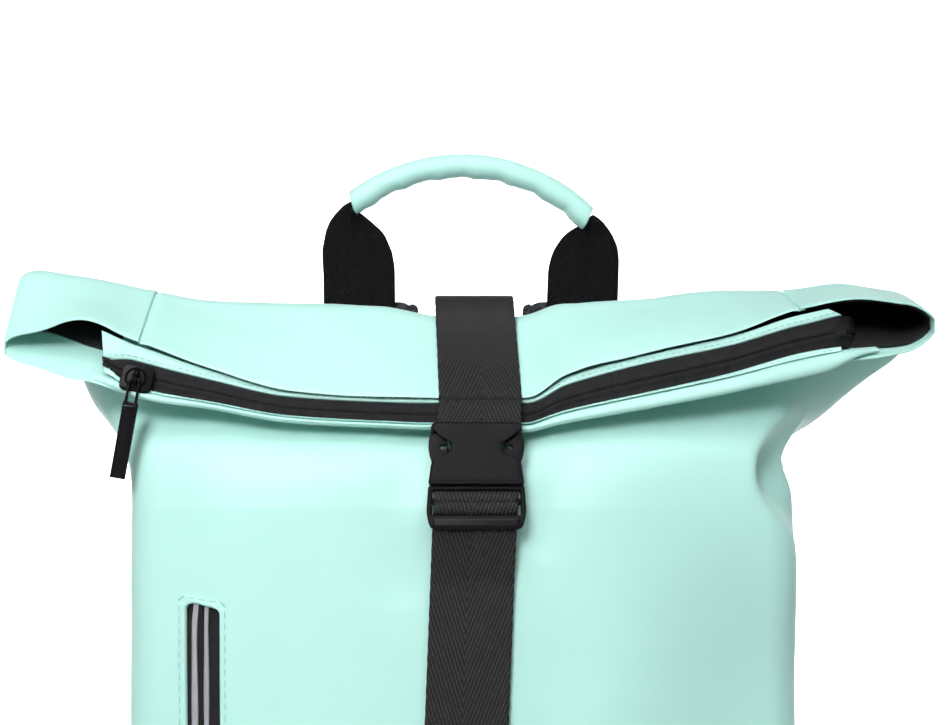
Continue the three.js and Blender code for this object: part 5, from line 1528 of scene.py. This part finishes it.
def adjuster(side, way):
    foot = np.array([way * SHOULDER_FOOT_X, SHOULDER_NEAR + SHOULDER_ROOM * 0.82, SHOULDER_FOOT])
    middle = foot - np.array([0, 0, CLEARANCE + 13])
    outline = rounded(box_outline(32, 26), 3.2, 6)
    slots = [rounded(box_outline(26, 6.6, 0, half * 5.2)[::-1], 1.0, 4) for half in (-1, 1)]
    body = bevelled("adjuster_plate", [outline, *slots], 5, 1.2, 5)
    axes = [[1, 0, 0], [0, 1, 0], [0, 0, 1]]
    piece(f"adjuster_{side}", *placed(body, axes, middle), stands_for=[f"shoulder_adjuster_{side}"],
          slot="black_plastic", material=PLASTIC, angle=32)


def side_webbing(side, way):
    foot_y = SHOULDER_NEAR + SHOULDER_ROOM * 0.82
    bar_z = SHOULDER_FOOT - CLEARANCE - 26 * 0.7
    sewn = level_at(BASE_RISE + 30)
    low_y = float(shell(2 - SHOULDER_FOOT_X / half_flat, sewn)[..., 1]) + CLEARANCE + WEBBING_WALL / 2
    behind = foot_y + 2.5 + CLEARANCE + WEBBING_WALL / 2
    points = [[0, low_y, 26], [0, low_y, 44], [0, mix(low_y, behind, 0.75), bar_z - 40],
              [0, behind, bar_z - 18], [0, behind, SHOULDER_FOOT + CLEARANCE - 2]]
    path = resample(points, 1.2)
    path[:, 0] = way * SHOULDER_FOOT_X
    strap(f"side_webbing_{side}", path, 25, WEBBING_WALL, [f"shoulder_webbing_{side}"], PLAIN_WEB)


back_pad()
for side, way in (("left", -1), ("right", 1)):
    shoulder_strap(side, way)
    adjuster(side, way)
    side_webbing(side, way)


# The pocket behind its window: woven tape, two reflective ribbons and a coil between them
def pocket_point(c, z, depth):
    p = c / half_flat
    v = level_at(z)
    return shell(p, v) + outward(p, v) * (relief(p, v) - depth)[..., None]


def pocket_strip(name, profile, foot, top, stands_for, slot, material, bend=0.0, ridge=0.0):
    """profile holds the offset from the coil's line and the depth under the cloth."""
    z = np.linspace(foot, top, 260)
    lean = bend * np.exp(-((top - z) / 7.0) ** 2)
    wave = ridge * np.sin(z * 2 * math.pi / 1.3)
    outer, inner = [], []
    for off, depth in profile:
        c = POCKET_MIDDLE + COIL_SHIFT + off + lean + 0.18 * np.sin(z * 0.11 + off)
        outer.append(pocket_point(c, z, np.full(z.shape, depth) - wave))
        inner.append(pocket_point(c, z, np.full(z.shape, depth + POCKET_STRIP_WALL)))
    points, faces = thick_grid(np.stack(outer, 1), np.stack(inner, 1))
    uv = np.stack([np.zeros(len(points)), np.tile(np.repeat(z, len(profile)), 2)], -1)
    piece(name, points, faces, stands_for=stands_for, slot=slot, material=material, uv=uv, angle=60)


COIL_SHIFT = -1.6
POCKET_STRIP_WALL = 0.6
tape_profile = [(-8.5, 2.6), (-6.2, 2.5), (-4.6, 2.4), (0, 2.4), (4.6, 2.3), (7.0, 1.9), (9.0, 1.7),
                (11.6, 1.9)]
pocket_strip("pocket_zip_tape", tape_profile, POCKET_FOOT - 4, POCKET_TOP + 4, ["pocket_tape"],
             "zip_tape", TAPE)
coil_profile = [(-1.25, 2.2), (-0.9, 1.75), (-0.3, 1.62), (0, 1.8), (0.3, 1.62), (0.9, 1.75), (1.25, 2.2)]
pocket_strip("pocket_coil_ridge", coil_profile, POCKET_FOOT - 2, POCKET_TOP + 2, ["pocket_coil"],
             "zip_tape", TAPE, ridge=0.14)
pocket_strip("ribbon_left", [(-4.3, 2.05), (-4.1, 1.75), (-2.9, 1.62), (-1.7, 1.75), (-1.5, 2.05)],
             POCKET_FOOT - 2, POCKET_TOP + 1.5, ["pocket_stripe_left"], "reflective_tape", RIBBON, bend=1.1)
pocket_strip("ribbon_right", [(1.5, 2.05), (1.7, 1.75), (2.7, 1.62), (3.6, 1.75), (3.8, 2.05)],
             POCKET_FOOT - 2, POCKET_TOP + 1.5, ["pocket_stripe_right"], "reflective_tape", RIBBON, bend=0.4)


def pocket_stitches():
    """A row of long stitches all round the window."""
    gap = 2.9
    left, right = POCKET_MIDDLE - POCKET_HALF - gap, POCKET_MIDDLE + POCKET_HALF + gap * 0.9
    top, foot = POCKET_TOP + gap * 0.9, POCKET_FOOT - gap
    corners = rounded([(left, foot), (right, foot), (right, top - 1.2), (left, top + 1.2)], 3.0, 8)
    line = np.array([*corners, corners[0]])
    fine = np.concatenate([np.linspace(a, b, 60) for a, b in zip(line[:-1], line[1:])])
    path = pocket_point(fine[:, 0], fine[:, 1], np.full(len(fine), -0.02))
    centres, along, at = along_line(path, 5.1)
    s = path_length(path)
    shares = np.stack([np.interp(at, s, fine[:, i]) for i in range(2)], -1)
    normal = outward(shares[:, 0] / half_flat, level_at(shares[:, 1]))
    stitches("pocket_stitches", centres, along, normal, 3.7, 0.27, THREAD)


pocket_stitches()


def back_stitches():
    """Box stitches that hold the handle's legs, seen on the back."""
    centres, along, normal = [], [], []
    for way in (-1, 1):
        x0, x1, z0, z1 = way * HANDLE_SPREAD / 2 - 16, way * HANDLE_SPREAD / 2 + 16, 334, 352
        for a, b in (((x0, z0), (x1, z0)), ((x1, z0), (x1, z1)), ((x1, z1), (x0, z1)), ((x0, z1), (x0, z0)),
                     ((x0, z0), (x1, z1)), ((x0, z1), (x1, z0))):
            line = np.array([(x, HANDLE_Y + 1.05, z) for x, z in np.linspace(a, b, 40)])
            c, t = along_line(line, 2.6)[:2]
            centres += list(c)
            along += list(t)
            normal += [[0, 1, 0]] * len(c)
    stitches("handle_stitches", centres, along, normal, 2.0, 0.26, DARK_THREAD, "webbing")


back_stitches()


# Camera, floor and light, in metres
FLOOR_RADIUS = 2.6
COVE_RADIUS = 0.9
WALL_HEIGHT = 4.2
FLOOR_TURNS = 73


def look(position, target):
    return (Vector(target) - Vector(position)).to_track_quat("-Z", "Y")


camera_data = bpy.data.cameras.new("camera")
camera_data.sensor_width = 36
camera_data.lens = 70.4
camera = bpy.data.objects.new("camera", camera_data)
bpy.context.scene.collection.objects.link(camera)
camera.location = (0.0024, -0.900, 0.410)
camera.rotation_euler = (math.pi / 2, 0, 0)
bpy.context.scene.camera = camera


def backdrop():
    """A round floor that turns up into a wall."""
    profile = [(0.05, 0.0), (0.7, 0.0), (1.5, 0.0), (FLOOR_RADIUS, 0.0)]
    for degrees in range(5, 90, 5):
        turn = math.radians(degrees)
        profile.append((FLOOR_RADIUS + COVE_RADIUS * math.sin(turn), COVE_RADIUS * (1 - math.cos(turn))))
    wall = FLOOR_RADIUS + COVE_RADIUS
    profile += [(wall, COVE_RADIUS), (wall, WALL_HEIGHT)]
    turns = np.linspace(0, 2 * math.pi, FLOOR_TURNS)
    points = [(r * math.sin(t), r * math.cos(t), z) for r, z in profile for t in turns]
    mesh = bpy.data.meshes.new("backdrop")
    middle = [list(range(FLOOR_TURNS - 1, -1, -1))]
    mesh.from_pydata(points, [], grid_faces(len(profile), FLOOR_TURNS).tolist() + middle)
    mesh.shade_smooth()
    obj = bpy.data.objects.new("backdrop", mesh)
    bpy.context.scene.collection.objects.link(obj)
    mat, tree, base = shader("pale_floor", (0.72, 0.72, 0.72), 0.9, specular=0.1)
    cloud = node(tree, "ShaderNodeTexNoise", Scale=3.0)
    tint = blend_colors(tree, cloud.outputs[0], (0.71, 0.71, 0.71), (0.73, 0.73, 0.73))
    tree.links.new(tint, base.inputs["Base Color"])
    mesh.materials.append(mat)


backdrop()


def area_light(name, position, target, size, power, spread=180):
    data = bpy.data.lights.new(name, "AREA")
    data.shape = "RECTANGLE"
    data.size, data.size_y = size
    data.energy = power
    data.spread = math.radians(spread)
    obj = bpy.data.objects.new(name, data)
    bpy.context.scene.collection.objects.link(obj)
    obj.location = position
    obj.rotation_euler = look(position, target).to_euler()


area_light("key", (-0.55, -2.0, 1.45), (-0.15, 0, 0.42), (0.7, 0.7), 2.65, spread=42)
area_light("fill", (-1.5, -1.2, 0.7), (0, 0, 0.3), (0.8, 1.0), 0.6)
area_light("top", (0.05, -1.0, 1.9), (0, 0, 0.4), (1.2, 0.8), 17.0)
area_light("wall", (0.0, 1.5, 3.1), (0, 2.4, 0.1), (1.8, 0.5), 150, spread=80)
world = bpy.data.worlds.new("studio")
world.use_nodes = True
world.node_tree.nodes["Background"].inputs[0].default_value = (1, 1, 1, 1)
world.node_tree.nodes["Background"].inputs[1].default_value = 0.03
bpy.context.scene.world = world
bpy.context.scene.view_settings.view_transform = "Standard"
